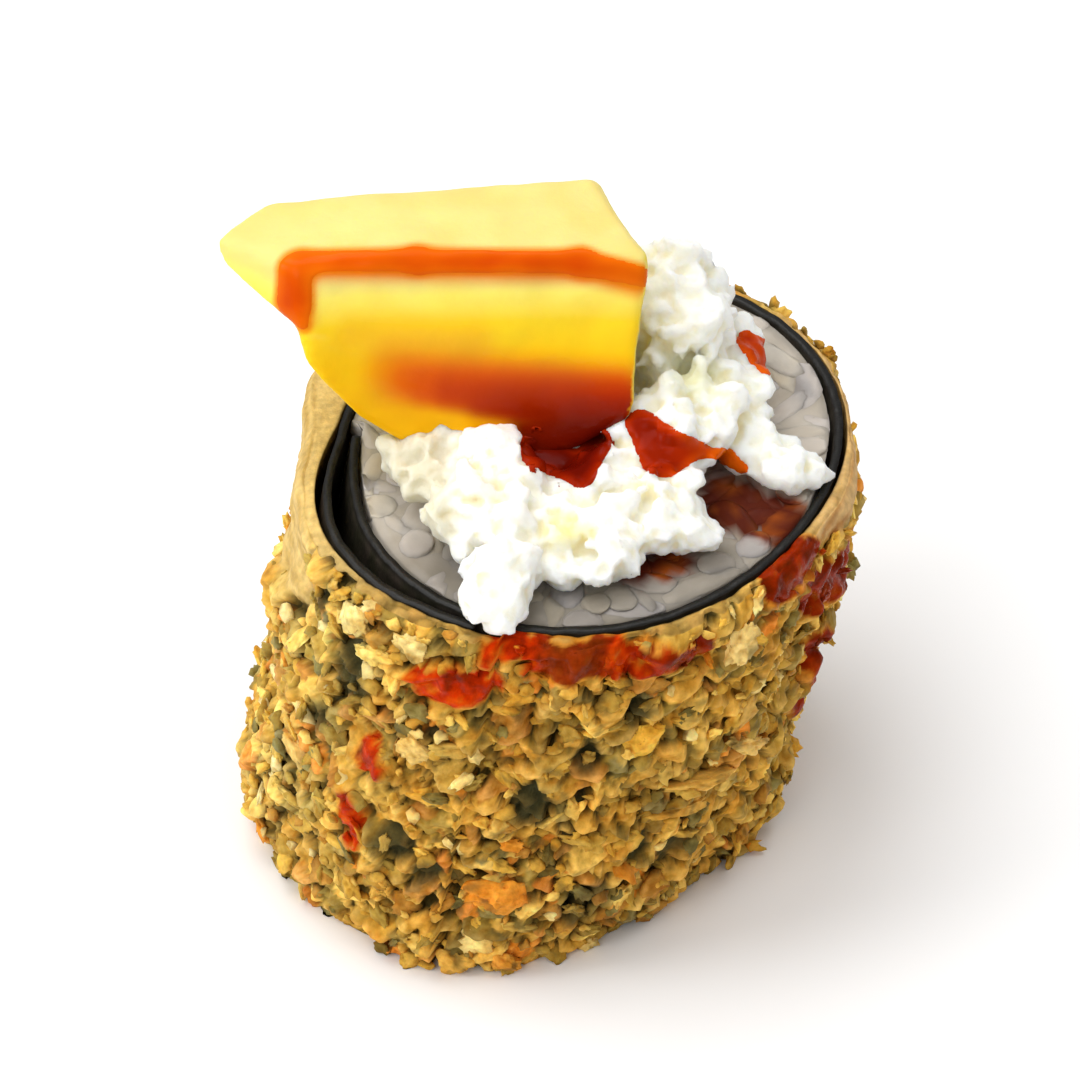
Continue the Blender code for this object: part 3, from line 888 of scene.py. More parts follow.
    # painted highlight: lighter where a place stands above its neighbours
    colour = mix(colour, colour * 1.15 + 0.02, smooth(-sunk / 0.2))
    colour = aged(points, colour, smooth((depth + 0.1) / 0.5))
    colour = mix(colour, srgb(64, 62, 38), dark_spots(dd, hh) * 0.85)
    streak = perlin(np.stack([dd * 0.28 / 2.6, hh / 0.5, kk * 6], -1), 12)
    batter = mix(srgb(218, 186, 116), srgb(192, 158, 88), smooth(0.5 + 0.9 * streak))
    batter = mix(batter, mix(srgb(206, 168, 112), srgb(170, 120, 66), smooth(0.3 + streak)), smooth(np.cos(np.radians(dd)) * 3))
    colour = mix(colour, batter, bare(dd, hh))
    on_rim = (kk > 0) & (kk <= 1)
    left = smooth((62 - np.abs((dd - 172 + 180) % 360 - 180)) / 18)
    pink = smooth((44 - np.abs((dd - 8 + 180) % 360 - 180)) / 14)
    rim = mix(mix(srgb(206, 164, 80), srgb(206, 168, 112), pink), srgb(216, 184, 114), left)
    fine = perlin(points / 0.45, 13)
    rim = mix(rim, srgb(164, 122, 58), smooth(0.1 + 0.8 * fine) * mix(0.6, 0.25, left))
    along = perlin(np.stack([dd * 0.28 / 3.4, kk * 8, 0 * kk], -1), 14)
    rim = mix(rim, srgb(200, 166, 98), smooth(along * 1.5) * 0.5)
    f1, _, which = cells(np.stack([points[:, 0] - LEAN * hh / HEIGHT, points[:, 1], 0 * hh], -1) / 1.05, 27)
    tones = ramp(which, (0, srgb(158, 126, 62)), (0.3, srgb(206, 160, 76)), (0.7, srgb(228, 190, 108)), (1, srgb(200, 140, 62)))
    # painted shade in the dips between the lumps of the cut edge
    tones = mix(tones, GAP_SHADE_COLOUR, smooth((f1 - 0.5) / 0.3) * 0.7)
    rim = mix(rim, tones, (1 - left) * (1 - 0.8 * pink) * 0.85)
    # painted shade: the cut edge darker along the front
    rim = rim * (1 - 0.3 * smooth((54 - np.abs(dd - 256)) / 16))[:, None]
    rim = mix(rim, srgb(70, 52, 28), smooth((kk - 0.86) / 0.14) * 0.85)
    colour = np.where(on_rim[:, None], rim, colour)
    colour = np.where((kk >= 2)[:, None], srgb(150, 118, 60), colour)
    sauce = coat_sauce(dd, hh, 0.4 * perlin(points / 1.3, 15)) * (kk < 2)
    sauce = sauce * (1 - 0.3 * smooth((-thin(points) - 0.15) / 0.4))
    colour = sauced(points, colour, sauce)
    rough = mix(0.62, 0.18, sauce)
    return new_piece("coat_shell", points, [faces.reshape(-1, 4)], colour, rough)


def evened_grid(field, rounds):
    """A field on the unrolled wall, smoothed."""
    for _ in range(rounds):
        level = np.concatenate([field[:1], field, field[-1:]])
        field = (2 * field + level[:-2] + level[2:] + np.roll(field, 1, 1) + np.roll(field, -1, 1)) / 6
    return field


def crumb_shapes(rng, fineness, kinds, flat, craggy):
    """Torn bread crumbs: craggy lumps with a broken face or two, longest along X."""
    base, faces = ball(fineness)
    shapes = []
    for _ in range(kinds):
        shift = rng.random(3) * 40
        r = 1 + craggy * perlin(base * 1.3 + shift, 1) + craggy * 0.8 * perlin(base * 2.7 + shift, 2)
        if fineness > 2:
            r = r + craggy * 0.45 * perlin(base * 5.5 + shift, 3)
        p = base * np.clip(r, 0.3, 1.9)[:, None]
        for _ in range(rng.integers(1, 4)):
            n = rng.normal(size=3)
            n /= np.linalg.norm(n)
            over = np.clip(p @ n - rng.uniform(0.45, 0.8), 0, None)
            p = p - over[:, None] * n
        p = p * (1, rng.uniform(0.55, 0.95), rng.uniform(*flat))
        shapes.append(p / np.abs(p[:, :2]).max() * 0.98)
    return np.array(shapes), faces


def make_crumbs(name, seed, fineness, gap, sizes, flat, craggy, palette, out, limit, strands=False):
    """One kind of crumb, strewn over the coat's wall."""
    rng = np.random.default_rng(seed)
    shapes, faces = crumb_shapes(rng, fineness, 28, flat, craggy)
    if strands:
        shapes = shapes * (1, 0.45, 0.7)
    width = 2 * math.pi * 16.3
    spots = strewn(rng, width, 0.15, HEIGHT - 0.45, gap, int(width * 26 / gap**2 * 5))
    degrees, z = spots[:, 0] / width * 360, spots[:, 1]
    chance = (1 - 0.94 * bare(degrees, z - 0.4)) * (1 - 0.6 * dark_spots(degrees, z))
    chance = chance * (1 - 0.75 * coat_sauce(degrees, z))
    chosen = rng.random(len(z)) < chance
    degrees, z = degrees[chosen][:limit], z[chosen][:limit]
    count = len(z)
    size = rng.uniform(*sizes, count)
    size = np.minimum(size, 0.3 + (HEIGHT - 0.2 - z) * 0.8)
    r = coat_wall(degrees, z) + out + rng.uniform(-0.3, 0.05, count) - size * 0.3
    turns = outward_turns(rng, degrees, 0.9)
    which = rng.integers(0, len(shapes), count)
    spot = around(degrees, r, z)
    points, many = copies(shapes, faces, which, turns, size, spot)
    base = crumb_colours(rng, spot, palette)
    return crumb_piece(name, points, many, np.repeat(base, shapes.shape[1], axis=0))


def outward_turns(rng, degrees, tilt):
    a = np.radians(degrees)
    outward = np.stack([np.cos(a), np.sin(a), 0.15 * rng.normal(size=len(a))], -1)
    outward /= np.linalg.norm(outward, axis=1)[:, None]
    return turned(rng, len(a), outward, tilt)


def crumb_piece(name, points, faces, colour):
    """Crumbs kept off the nori, the floor and the cut, and coloured: painted shade where they are sunk, a painted
    highlight on their crests, red-brown and wet where there is sauce."""
    d, far = heading(points)
    zz = points[:, 2].copy()
    least = sheet_face(d, np.clip(zz, 0, HEIGHT), True) + 0.06
    push = np.where(far < least, least / np.maximum(far, 1e-6), 1)
    shift = LEAN * zz / HEIGHT
    points[:, 0] = (points[:, 0] - shift) * push + shift
    points[:, 1] *= push
    points[:, 2] = np.clip(zz, 0.0, HEIGHT - 0.02)
    wall = coat_wall(d, np.clip(points[:, 2], 0, HEIGHT - 0.4))
    _, far = heading(points)
    out = far - wall
    # painted shade: darker the deeper a crumb sinks into the wall
    colour = mix(GAP_SHADE_COLOUR, colour, smooth((out + 0.65) / 0.55))
    colour = aged(points, colour, smooth((out + 0.3) / 0.5))
    colour = mix(colour, srgb(80, 74, 44), dark_spots(d, points[:, 2]) * 0.5)
    sauce = coat_sauce(d, points[:, 2], 0.4 * perlin(points / 1.3, 15))
    sauce = sauce * (1 - 0.3 * smooth((-thin(points) - 0.15) / 0.4))
    colour = sauced(points, colour, sauce)
    return new_piece(name, points, [faces], colour, mix(0.58, 0.18, sauce))


def make_big_crumbs():
    """The few crumbs large enough to be told apart, and long flakes."""
    rng = np.random.default_rng(75)
    shapes, faces = crumb_shapes(rng, 4, len(BIG_CRUMBS), (0.45, 0.6), 0.4)
    at = np.array([c[:5] for c in BIG_CRUMBS], float)
    slim = at[:, 3]
    for shape in shapes:
        shape /= np.abs(shape).max(axis=0)
    shapes *= np.stack([1 + 0 * slim, slim, np.minimum(0.9 * slim, 0.42)], -1)[:, None]
    size = at[:, 2]
    a, t = np.radians(at[:, 0]), np.radians(at[:, 4])
    out = np.stack([np.cos(a), np.sin(a), 0 * a], -1)
    along = np.stack([-np.sin(a) * np.cos(t), np.cos(a) * np.cos(t), np.sin(t)], -1)
    turns = np.stack([along, np.cross(out, along), out], -1)
    r = coat_wall(at[:, 0], at[:, 1]) - 0.05
    spot = around(at[:, 0], r, at[:, 1])
    points, many = copies(shapes, faces, np.arange(len(at)), turns, size, spot)
    # they follow the wall round
    d, _ = heading(points)
    side = np.radians((d - np.repeat(at[:, 0], shapes.shape[1]) + 180) % 360 - 180)
    shift = LEAN * points[:, 2] / HEIGHT
    points[:, 0] = (points[:, 0] - shift) * np.cos(side) + shift
    points[:, 1] *= np.cos(side)
    base = np.repeat(np.array([c[-1] for c in BIG_CRUMBS]), shapes.shape[1], axis=0)
    return crumb_piece("crumbs_big", points, many, base)


# The nori

def make_nori():
    """The wound sheet, crinkled, its edge a little ragged."""
    steps = 560
    d = np.linspace(SHEET_START, SHEET_END, steps)
    levels = np.array([0.0, 2, 4, 6, 8, 10, 12, 14, 16, 18, 20, 21.5, 23, 24.2, 25.0, 25.35, HEIGHT - 0.06])
    dd, zz = np.meshgrid(d, levels)
    r = winding(dd, zz)
    s = np.stack([dd * 0.25 / 2.4, zz / 7, 0 * dd], -1).reshape(-1, 3)
    r = r + 0.05 * perlin(s, 31).reshape(dd.shape)
    top = 0.10 * perlin(np.stack([d * 0.25 / 1.3, 0 * d, 0 * d], -1), 32)
    zz = zz + np.where(zz > HEIGHT - 0.5, np.minimum(top, 0.04), 0)
    half = NORI / 2 - 0.02
    walls = []
    for sign in (-1, 1):
        p = np.stack([dd * 0.25 / 0.8, zz / 0.8, sign + 0 * dd], -1).reshape(-1, 3)
        rough_face = 0.03 * perlin(p, 33).reshape(dd.shape)
        walls.append(around(dd, r + sign * (half + rough_face), zz))
    rows = len(levels)
    points = np.concatenate([w.reshape(-1, 3) for w in walls])
    j, i = np.meshgrid(np.arange(rows - 1), np.arange(steps - 1), indexing="ij")
    a = j * steps + i
    inner = np.stack([a, a + steps, a + steps + 1, a + 1], -1).reshape(-1, 4)
    outer = np.stack([a, a + 1, a + steps + 1, a + steps], -1).reshape(-1, 4) + rows * steps
    off = rows * steps
    i = np.arange(steps - 1)
    t = (rows - 1) * steps
    lid = np.stack([t + i, t + i + off, t + i + 1 + off, t + i + 1], -1)
    foot = np.stack([i, i + 1, i + 1 + off, i + off], -1)
    j = np.arange(rows - 1) * steps
    start = np.stack([j, j + off, j + steps + off, j + steps], -1)
    j = j + steps - 1
    end = np.stack([j, j + steps, j + steps + off, j + off], -1)
    high = smooth((points[:, 2] - HEIGHT + 0.5) / 0.4)
    mottle = perlin(points / 0.9, 34)
    colour = mix(srgb(64, 56, 48), srgb(48, 46, 34), smooth(0.5 + mottle))
    colour = mix(colour, srgb(16, 14, 10), high)
    rough = mix(0.42, 0.5, high)
    return new_piece("nori_sheet", points, [inner, outer, lid, foot, start, end], colour, rough)


# The rice

def stained(points, lines, soft=0.6):
    x, v, _ = sight(points)
    wobble = 0.35 * perlin(points / 0.9, 41)
    out = np.zeros(len(points))
    for inside, _ in near_lines(x, v, lines):
        out = np.maximum(out, smooth((inside + wobble) / soft + 0.4))
    return out


def grain_shapes(rng, kinds, round_by=12, long_by=9):
    """Cooked rice grains: short, fat and a little bent, longest along X."""
    shapes = []
    for _ in range(kinds):
        t = np.linspace(0, math.pi, long_by + 1)[1:-1]
        a = np.arange(round_by) * 2 * math.pi / round_by
        half, wide, thick = rng.uniform(2.3, 3.1), rng.uniform(0.95, 1.15), rng.uniform(0.85, 1.0)
        x = -half * np.sign(np.cos(t)) * np.abs(np.cos(t)) ** 0.85
        swell = np.sin(t) ** 0.62
        xx = np.repeat(x, round_by)
        yy = np.outer(swell, np.cos(a)).ravel() * wide
        zz = np.outer(swell, np.sin(a)).ravel() * thick
        yy = yy + rng.uniform(0.1, 0.35) * (xx / half) ** 2 * rng.choice((-1, 1))
        p = np.stack([xx, yy, zz], -1)
        ends = np.array([[-half, yy[: round_by].mean(), 0], [half, yy[-round_by:].mean(), 0]])
        p = np.concatenate([p, ends])
        p = p * (1 + 0.07 * perlin(p / 0.9 + rng.random(3) * 30, 42))[:, None]
        shapes.append(p)
    rings = long_by - 1
    quads, tris = [], []
    for k in range(rings - 1):
        for m in range(round_by):
            a0, b0 = k * round_by + m, k * round_by + (m + 1) % round_by
            quads.append((a0, b0, b0 + round_by, a0 + round_by))
    last = rings * round_by
    for m in range(round_by):
        n = (m + 1) % round_by
        tris.append((m, n, last))
        tris.append((last - round_by + n, last - round_by + m, last + 1))
    return np.array(shapes), np.array(quads), np.array(tris)[:, ::-1]


def make_rice():
    """Grains pressed into both cuts, and the core under them."""
    rng = np.random.default_rng(52)
    shapes, quads, tris = grain_shapes(rng, 24)
    spots, ups = [], []
    for level in (HEIGHT, 0.0):
        found = strewn(rng, 30, -15, 15, 1.3, 12000, wraps=False)
        found[:, 0] -= 15
        d = np.degrees(np.arctan2(found[:, 1], found[:, 0])) % 360
        inside = sheet_face(d, np.full(len(d), level), False)
        found = found[np.hypot(found[:, 0], found[:, 1]) < inside - 0.5]
        sink = rng.uniform(0.6, 1.15, len(found))
        z = level - sink if level else level + sink
        x = found[:, 0] + LEAN * z / HEIGHT
        spots.append(np.stack([x, found[:, 1], z], -1))
        ups.append(np.full(len(found), 1.0 if level else -1.0))
    spots, ups = np.concatenate(spots), np.concatenate(ups)
    count = len(spots)
    tilt = rng.normal(size=(count, 3)) * (0.1, 0.1, 0)
    third = np.stack([0 * ups, 0 * ups, ups], -1) + tilt
    third /= np.linalg.norm(third, axis=1)[:, None]
    # most lie along the cut, some stand and show their round section
    standing = rng.random(count) < 0.16
    turn = rng.random(count) * 2 * math.pi
    rise = np.where(standing, rng.uniform(0.8, 1.5, count), rng.normal(0, 0.22, count))
    along = np.stack(
        [np.cos(turn) * np.cos(rise), np.sin(turn) * np.cos(rise), -np.sin(np.abs(rise)) * ups], -1
    )
    side = np.cross(third, along)
    side /= np.linalg.norm(side, axis=1)[:, None]
    turns = np.stack([along, side, np.cross(along, side)], -1)
    which = rng.integers(0, len(shapes), count)
    size = rng.uniform(0.9, 1.08, count)
    points, many_q = copies(shapes, quads, which, turns, size, spots)
    _, many_t = copies(shapes, tris, which, turns, size, spots)
    per = shapes.shape[1]
    up = np.repeat(ups, per)
    # pressed flat by the knife, grain by grain
    cut = np.repeat(rng.uniform(-0.12, 0.10, count), per)
    high = HEIGHT - 0.20 + cut + 0.08 * perlin(points / 2.6, 43)
    low = 0.14 - cut
    z = points[:, 2]
    over = np.where(up > 0, z - high, low - z)
    give = np.where(up > 0, 0.14, np.minimum(0.14, low - 0.005))
    z = np.where(over > 0, z - up * (over - give * (1 - np.exp(-over / 0.5))), z)
    points[:, 2] = z
    d, far = heading(points)
    most = sheet_face(d, np.clip(z, 0, HEIGHT), False) - 0.06
    pull = np.where(far > most, most / np.maximum(far, 1e-6), 1)
    shift = LEAN * z / HEIGHT
    points[:, 0] = (points[:, 0] - shift) * pull + shift
    points[:, 1] *= pull
    shade = np.repeat(rng.uniform(0.95, 1.06, count), per)
    warm = np.repeat(rng.random(count), per)
    base = mix(srgb(194, 186, 180), srgb(194, 182, 160), warm) * shade[:, None]
    # painted shade: the grains darker towards the front
    base = base * mix(1.0, 0.52, smooth((-points[:, 1] - 4) / 7))[:, None]
    # painted shade: darker below the cut, between the grains
    deep = np.where(up > 0, HEIGHT - 0.45 - z, z - 0.3)
    colour = mix(base, base * srgb(238, 232, 224), smooth(deep / 0.9))
    stain = stained(points, RICE_STAIN) * (up > 0)
    colour = mix(colour, mix(srgb(84, 20, 0), srgb(144, 66, 6), smooth(0.3 + perlin(points / 1.0, 46))), stain * 0.98)
    rough = mix(0.34, 0.24, stain)
    grains = new_piece("rice_grains", points, [many_q, many_t], colour, rough)

    # the core: the same outline, lower, with the relief of grains
    columns, rings = 120, 22
    dd = np.arange(columns) * 3.0
    rows = []
    for level, sign in ((HEIGHT - 0.27, 1), (0.28, -1)):
        shares = np.linspace(0.04, 1, rings)
        if sign < 0:
            shares = shares[::-1]
        for s in shares:
            r = (sheet_face(dd, np.full(columns, level), False) - 0.12) * s
            flat = np.stack([r * np.cos(np.radians(dd)), r * np.sin(np.radians(dd)), 0 * r + sign], -1)
            f1, _, _ = cells(flat / 2.1, 44)
            z = level + sign * 0.09 * np.clip(1 - f1 * 1.4, -0.6, 1)
            rows.append((r, z))
        if sign > 0:
            for zz in (18.0, 12.0, 6.0):
                rows.append((sheet_face(dd, np.full(columns, zz), False) - 0.12, np.full(columns, zz)))
    points = np.concatenate([around(dd, r, z) for r, z in rows])
    total = len(rows)
    j, i = np.meshgrid(np.arange(total - 1), np.arange(columns), indexing="ij")
    a, b = j * columns + i, j * columns + (i + 1) % columns
    faces = np.stack([a, a + columns, b + columns, b], -1).reshape(-1, 4)
    caps = np.array([np.arange(columns), np.arange(columns)[::-1] + (total - 1) * columns])
    mottle = perlin(points / 1.5, 45)
    colour = mix(srgb(190, 181, 168), srgb(176, 166, 150), smooth(0.5 + mottle))
    # painted shade: darker towards the front, as on the grains
    colour = colour * mix(1.0, 0.52, smooth((-points[:, 1] - 4) / 7))[:, None]
    stain = stained(points, RICE_STAIN) * (points[:, 2] > 20)
    colour = mix(colour, mix(srgb(84, 20, 0), srgb(144, 66, 6), smooth(0.3 + perlin(points / 1.0, 46))), stain * 0.98)
    core = new_piece("rice_core", points, [faces, caps], colour, 0.45)
    return grains, core


# The avocado

def make_avocado():
    """The chunk with its cut faces, softened edges and knife marks."""
    points, faces, _ = read_mesh(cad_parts["avocado"].data)
    points, faces, normals = grown(points, faces, 0.22)
    points = evened(points, faces, 4)
    normals = normals_of(points, faces)
    low = perlin(points / 5.0, 51) * 0.16 + perlin(points / 1.8, 52) * 0.05
    marks = perlin(np.stack([points[:, 0] / 6, (points[:, 1] + points[:, 2]) / 0.7, 0 * low], -1), 53)
    points = points + normals * (low + 0.018 * marks - 0.06)[:, None]
    normals = normals_of(points, faces)
    x, y, z = points.T
    nx, ny, nz = normals.T
    top, front = smooth((nz - 0.45) / 0.35), smooth((-ny - 0.3) / 0.4)
    share = smooth((z - HEIGHT - 3.5) / 9.5)  # up the front
    # painted light: the front paler going up, with a painted highlight band below the top edge
    face = ramp(share, (0, AVOCADO_LOW), (0.45, AVOCADO_MIDDLE), (0.75, AVOCADO_UPPER), (0.93, AVOCADO_HIGHLIGHT), (1, AVOCADO_LIT_TOP))
    colour = mix(srgb(226, 204, 84), face, front)
    # painted light: the top paler, as if lit from above
    colour = mix(colour, AVOCADO_LIT_TOP, top)
    colour = mix(colour, srgb(226, 200, 72), top * smooth((x - 3) / 6) * smooth((2.5 - y) / 5) * 0.8)
    back = smooth((ny - 0.25) / 0.5)
    colour = mix(colour, srgb(220, 206, 92), back * 0.8)
    under = smooth((-nz - 0.2) / 0.5) * (1 - front)
    colour = mix(colour, srgb(214, 192, 62), under * 0.8)
    vein = perlin(points / 2.2, 54)
    colour = mix(colour, colour * srgb(250, 236, 196), smooth(0.35 + vein) * 0.3)
    # the sauce soaks in round its film
    sx, sv, _ = sight(points)
    facing = smooth((-ny * STEEP + nz * FLAT + 0.45) / 0.3) * (1 - smooth((nx - 0.55) / 0.3))
    wet = np.zeros(len(points))
    for lines, halo in ((FILM_PATCH, 0.55), (FILM_STRIPE, 0.4)):
        inside, tone = sauce_depth(sx, sv, lines)
        cover = smooth((inside + halo) / halo) * facing
        colour = mix(colour, ramp(tone * mix(0.55, 1.0, smooth(inside / 0.5)), *SAUCE_STOPS), cover)
    for line in SMEAR:
        inside, along = near_lines(sx, sv, (line,))[0]
        cover = smooth((inside + line[8]) / (line[8] + 0.5)) * facing
        colour = mix(colour, ramp(mix(line[6], line[7], along), *SAUCE_STOPS), cover)
        wet = np.maximum(wet, cover)
    rough = mix(0.36 + 0.08 * perlin(points / 1.2, 55), 0.2, wet)
    return new_piece("avocado_chunk", points, faces, colour, rough), points, faces


# The cream cheese

def make_cheese(chunk):
    """Curds of many sizes grown into one crumbly heap."""
    rng = np.random.default_rng(61)
    fine, fine_faces = ball(4)
    rough_ball, rough_faces = ball(2)
    points, faces, at = [], [], 0

    def add(base, base_faces, place, half, swell):
        nonlocal at
        r = 1 + swell * perlin(base * 1.7 + place, 62) + swell * 0.7 * perlin(base * 3.4 + place, 67)
        p = base * r[:, None]
        for _ in range(3 if len(base) < 1000 else 0):  # broken faces
            n = rng.normal(size=3)
            n /= np.linalg.norm(n)
            p = p - np.clip(p @ n - rng.uniform(0.35, 0.8), 0, None)[:, None] * n
        p = p * half + place
        points.append(p)
        faces.append(base_faces + at)
        at += len(p)

    for x, y, z, a, b, c in CURDS:
        add(fine, fine_faces, (x, y, z), np.array((a, b, c)) * 0.88, 0.12)
    for _ in range(1500):
        x, y, z, a, b, c = CURDS[rng.integers(len(CURDS))]
        up = rng.normal(size=3)
        up[2] = abs(up[2])
        up /= np.linalg.norm(up)
        size = 0.24 + rng.gamma(1.3, 0.32)
        size = min(size, 1.6)
        place = np.array((x, y, z)) + up * (a, b, c) * rng.uniform(0.80, 1.02)
        if place[2] < 0.2:
            continue
        add(rough_ball, rough_faces, place, size * rng.uniform(0.65, 1.1, 3), 0.3)
    p = np.concatenate(points)
    p[:, 0] += LEAN
    p[:, 2] = np.maximum(p[:, 2], -0.3) + HEIGHT
    p, faces, normals = largest(*grown(p, [np.concatenate(faces)], 0.2))
    f1, f2, _ = cells(p / 1.3, 63)
    g1, g2, _ = cells(p / 0.62, 64)
    coarse = smooth(0.5 + perlin(p / 2.6, 68))
    lumps = 0.20 * coarse * np.clip(1 - 1.6 * f1 * f1, -0.3, 1)
    lumps += mix(0.13, 0.04, coarse) * np.clip(1 - 1.6 * g1 * g1, -0.3, 1)
    lumps += 0.16 * perlin(p / 1.1, 69) + 0.08 * perlin(p / 0.45, 65) - 0.16
    open_side = smooth((p[:, 2] - HEIGHT + 0.25) / 0.4)
    p = p + normals * (lumps * open_side)[:, None]
    p[:, 2] = np.maximum(p[:, 2], HEIGHT - 0.34)
    # the chunk presses into the heap
    tree = BVHTree.FromPolygons(chunk[0].tolist(), [f.tolist() for q in chunk[1] for f in q])
    low, high = chunk[0].min(0) - 0.1, chunk[0].max(0) + 0.1
    for i in np.nonzero(((p > low) & (p < high)).all(1))[0]:
        hit, n, _, far = tree.find_nearest(Vector(p[i]))
        if (Vector(p[i]) - hit).dot(n) < -0.12:
            p[i] = hit - n * 0.12
    # painted shade: a curd's hollows are painted yellower and darker than its crests
    mean = evened(p, faces, 12)
    crest = ((p - mean) * normals_of(p, faces)).sum(1)
    hollow = smooth((0.03 - crest) / 0.14)
    tone = perlin(p / 3.0, 66)
    colour = mix(CURD_WHITE, CURD_HOLLOW_SHADE, hollow * mix(0.3, 0.9, smooth(0.3 + 1.3 * tone)))
    cx, cv, _ = sight(p)
    # painted shadow of the chunk: the left of the heap greyer
    colour = mix(colour, srgb(206, 199, 170), smooth((-cx - 2.2) / 2.2) * 0.8)
    colour = mix(colour, srgb(238, 228, 150), smooth(1 - np.hypot((cx - 3.2) / 2.2, (cv - 13.9) / 1.4)) * 0.8)
    colour = mix(colour, srgb(240, 238, 190), smooth(1 - np.hypot((cx - 10.2) / 2.4, (cv - 22.6) / 2.0)) * 0.7)
    stain = stained(p, FILM_PATCH[4:] + FILM_SPOT, 0.8)
    colour = mix(colour, srgb(206, 128, 60), stain * 0.5)
    return new_piece("cheese_curds", p, faces, colour, 0.55), p, faces


# The sauce on top

def make_film(name, lines, bodies, tree, peak, seed, wobble=0.1, reach=0.2, past=8):
    """A film of sauce on the parts of the bodies that lie under the lines and face
    the viewer, rounded off at its outline. Each patch is a closed body: a wet face,
    and one just inside what it lies on. peak: most thickness; reach: how far it goes
    round what faces away; past: how many edges it goes on behind a crest."""
    eye = np.array((0, -STEEP, FLAT))
    points, faces, colours, at = [], [], [], 0
    for p, body_faces in bodies:
        n = normals_of(p, body_faces)
        x, v, _ = sight(p)
        inside, tone = sauce_depth(x, v, lines)
        inside = inside + wobble * (perlin(p / 1.5, seed) + 0.4 * perlin(p / 0.6, seed + 1))
        seen = np.zeros(len(p))
        for i in np.nonzero(inside > -0.9)[0]:  # what lies hidden stays clean
            start = Vector(p[i] + n[i] * 0.2 + eye * 0.2)
            seen[i] = tree.ray_cast(start, Vector(eye), 60)[0] is None
        seen = evened(spread(seen, body_faces, past), body_faces, 16)
        inside = np.minimum(inside, (seen - 0.5) * 2.5)
        inside = np.minimum(inside, (evened(n @ eye, body_faces, 24) + reach) * 3)
        inside = evened(inside, body_faces, 4)
        quads = np.concatenate([f if f.shape[1] == 4 else np.repeat(f, (1, 1, 2), 1) for f in body_faces])
        quads = quads[(inside[quads] > -0.25).any(axis=1)]
        body = bodies_of(len(p), [quads])[quads[:, 0]]
        quads = quads[np.bincount(body, minlength=1)[body] > 60]  # no specks
        if not len(quads):
            continue
        used, quads = np.unique(quads, return_inverse=True)
        quads = quads.reshape(-1, 4)
        p, n, inside, tone = p[used], n[used], inside[used], tone[used]
        level = ((evened(p, [quads], 60) - p) * n).sum(1)
        dome = np.sqrt(np.clip(1 - (1 - np.clip(inside / 0.8, 0, 1)) ** 2, 0, 1))
        lift = np.maximum(peak * dome + np.minimum(inside, 0) * 0.6, -0.12) + 0.01
        lift = lift + np.clip(level, -0.5 * peak * dome, 0.9) * smooth(inside / 0.35)
        count = len(p)
        sides = np.concatenate([np.stack([quads[:, k], quads[:, (k + 1) % 4]], -1) for k in range(4)])
        sides = sides[sides[:, 0] != sides[:, 1]]
        code = sides[:, 0] * count + sides[:, 1]
        edge = sides[~np.isin(sides[:, 1] * count + sides[:, 0], code)]
        wall = np.stack([edge[:, 1], edge[:, 0], edge[:, 0] + count, edge[:, 1] + count], -1)
        wet = evened(p + n * lift[:, None], [quads], 6)
        wet = mix(p + n * lift[:, None], wet, smooth(inside / 0.2))
        low = np.clip(0.04 - ((wet - p) * n).sum(1), 0, None) * smooth(inside / 0.2)
        points += [wet + n * low[:, None], p - n * 0.2]
        faces += [quads + at, quads[:, ::-1] + count + at, wall + at]
        t = tone * mix(0.82, 1.0, smooth(inside / 0.6)) + 0.04 * perlin(p / 1.4, seed + 2)
        colour = ramp(np.clip(t, 0, 1), *SAUCE_STOPS)
        colours += [colour, colour]
        at += 2 * count
    return new_piece(name, np.concatenate(points), [np.concatenate(faces)], np.concatenate(colours))


# Building it all

crumb_mat = finish_of(
    "crumb", grain=((3600, 3, 0.00008),), tone=(2400, 0.82), tinted=0.95,
    Specular_IOR_Level=0.1, Subsurface_Weight=0.15, Subsurface_Scale=0.001,
    Subsurface_Radius=(0.6, 0.35, 0.1),
)
shell_mat = finish_of(
    "batter", grain=((2600, 4, 0.00010),), tone=(2200, 0.82), tinted=0.95,
    Specular_IOR_Level=0.1, Subsurface_Weight=0.1, Subsurface_Scale=0.001,
    Subsurface_Radius=(0.6, 0.35, 0.1),
)
nori_mat = finish_of(
    "nori_fibre", grain=((1500, 4, 0.00006), (5200, 2, 0.00003)), tone=(1300, 0.75),
    Specular_IOR_Level=0.35,
)
rice_mat = finish_of(
    "cooked_rice", grain=((1400, 3, 0.00004),), tone=(600, 0.93), tinted=0.9,
    Specular_IOR_Level=0.18, Subsurface_Weight=0.5, Subsurface_Scale=0.001,
    Subsurface_Radius=(0.7, 0.65, 0.55),
)
cheese_mat = finish_of(
    "curd", roughness=0.55, grain=((1700, 4, 0.00008), (5000, 2, 0.00003)), tone=(900, 0.985),
    Specular_IOR_Level=0.12, Subsurface_Weight=0.75, Subsurface_Scale=0.001,
    Subsurface_Radius=(1.5, 1.3, 1.0),
)
avocado_mat = finish_of(
    "avocado_flesh", grain=((520, 3, 0.00005), (2600, 2, 0.00002)), tone=(420, 0.97),
    Specular_IOR_Level=0.1, Subsurface_Weight=0.3, Subsurface_Scale=0.001,
    Subsurface_Radius=(1.0, 0.6, 0.1),
)
sauce_mat = finish_of(
    "sauce", roughness=0.2, grain=((260, 2, 0.00003),), tone=(500, 0.96), tinted=0.6,
    Specular_IOR_Level=0.09,
)

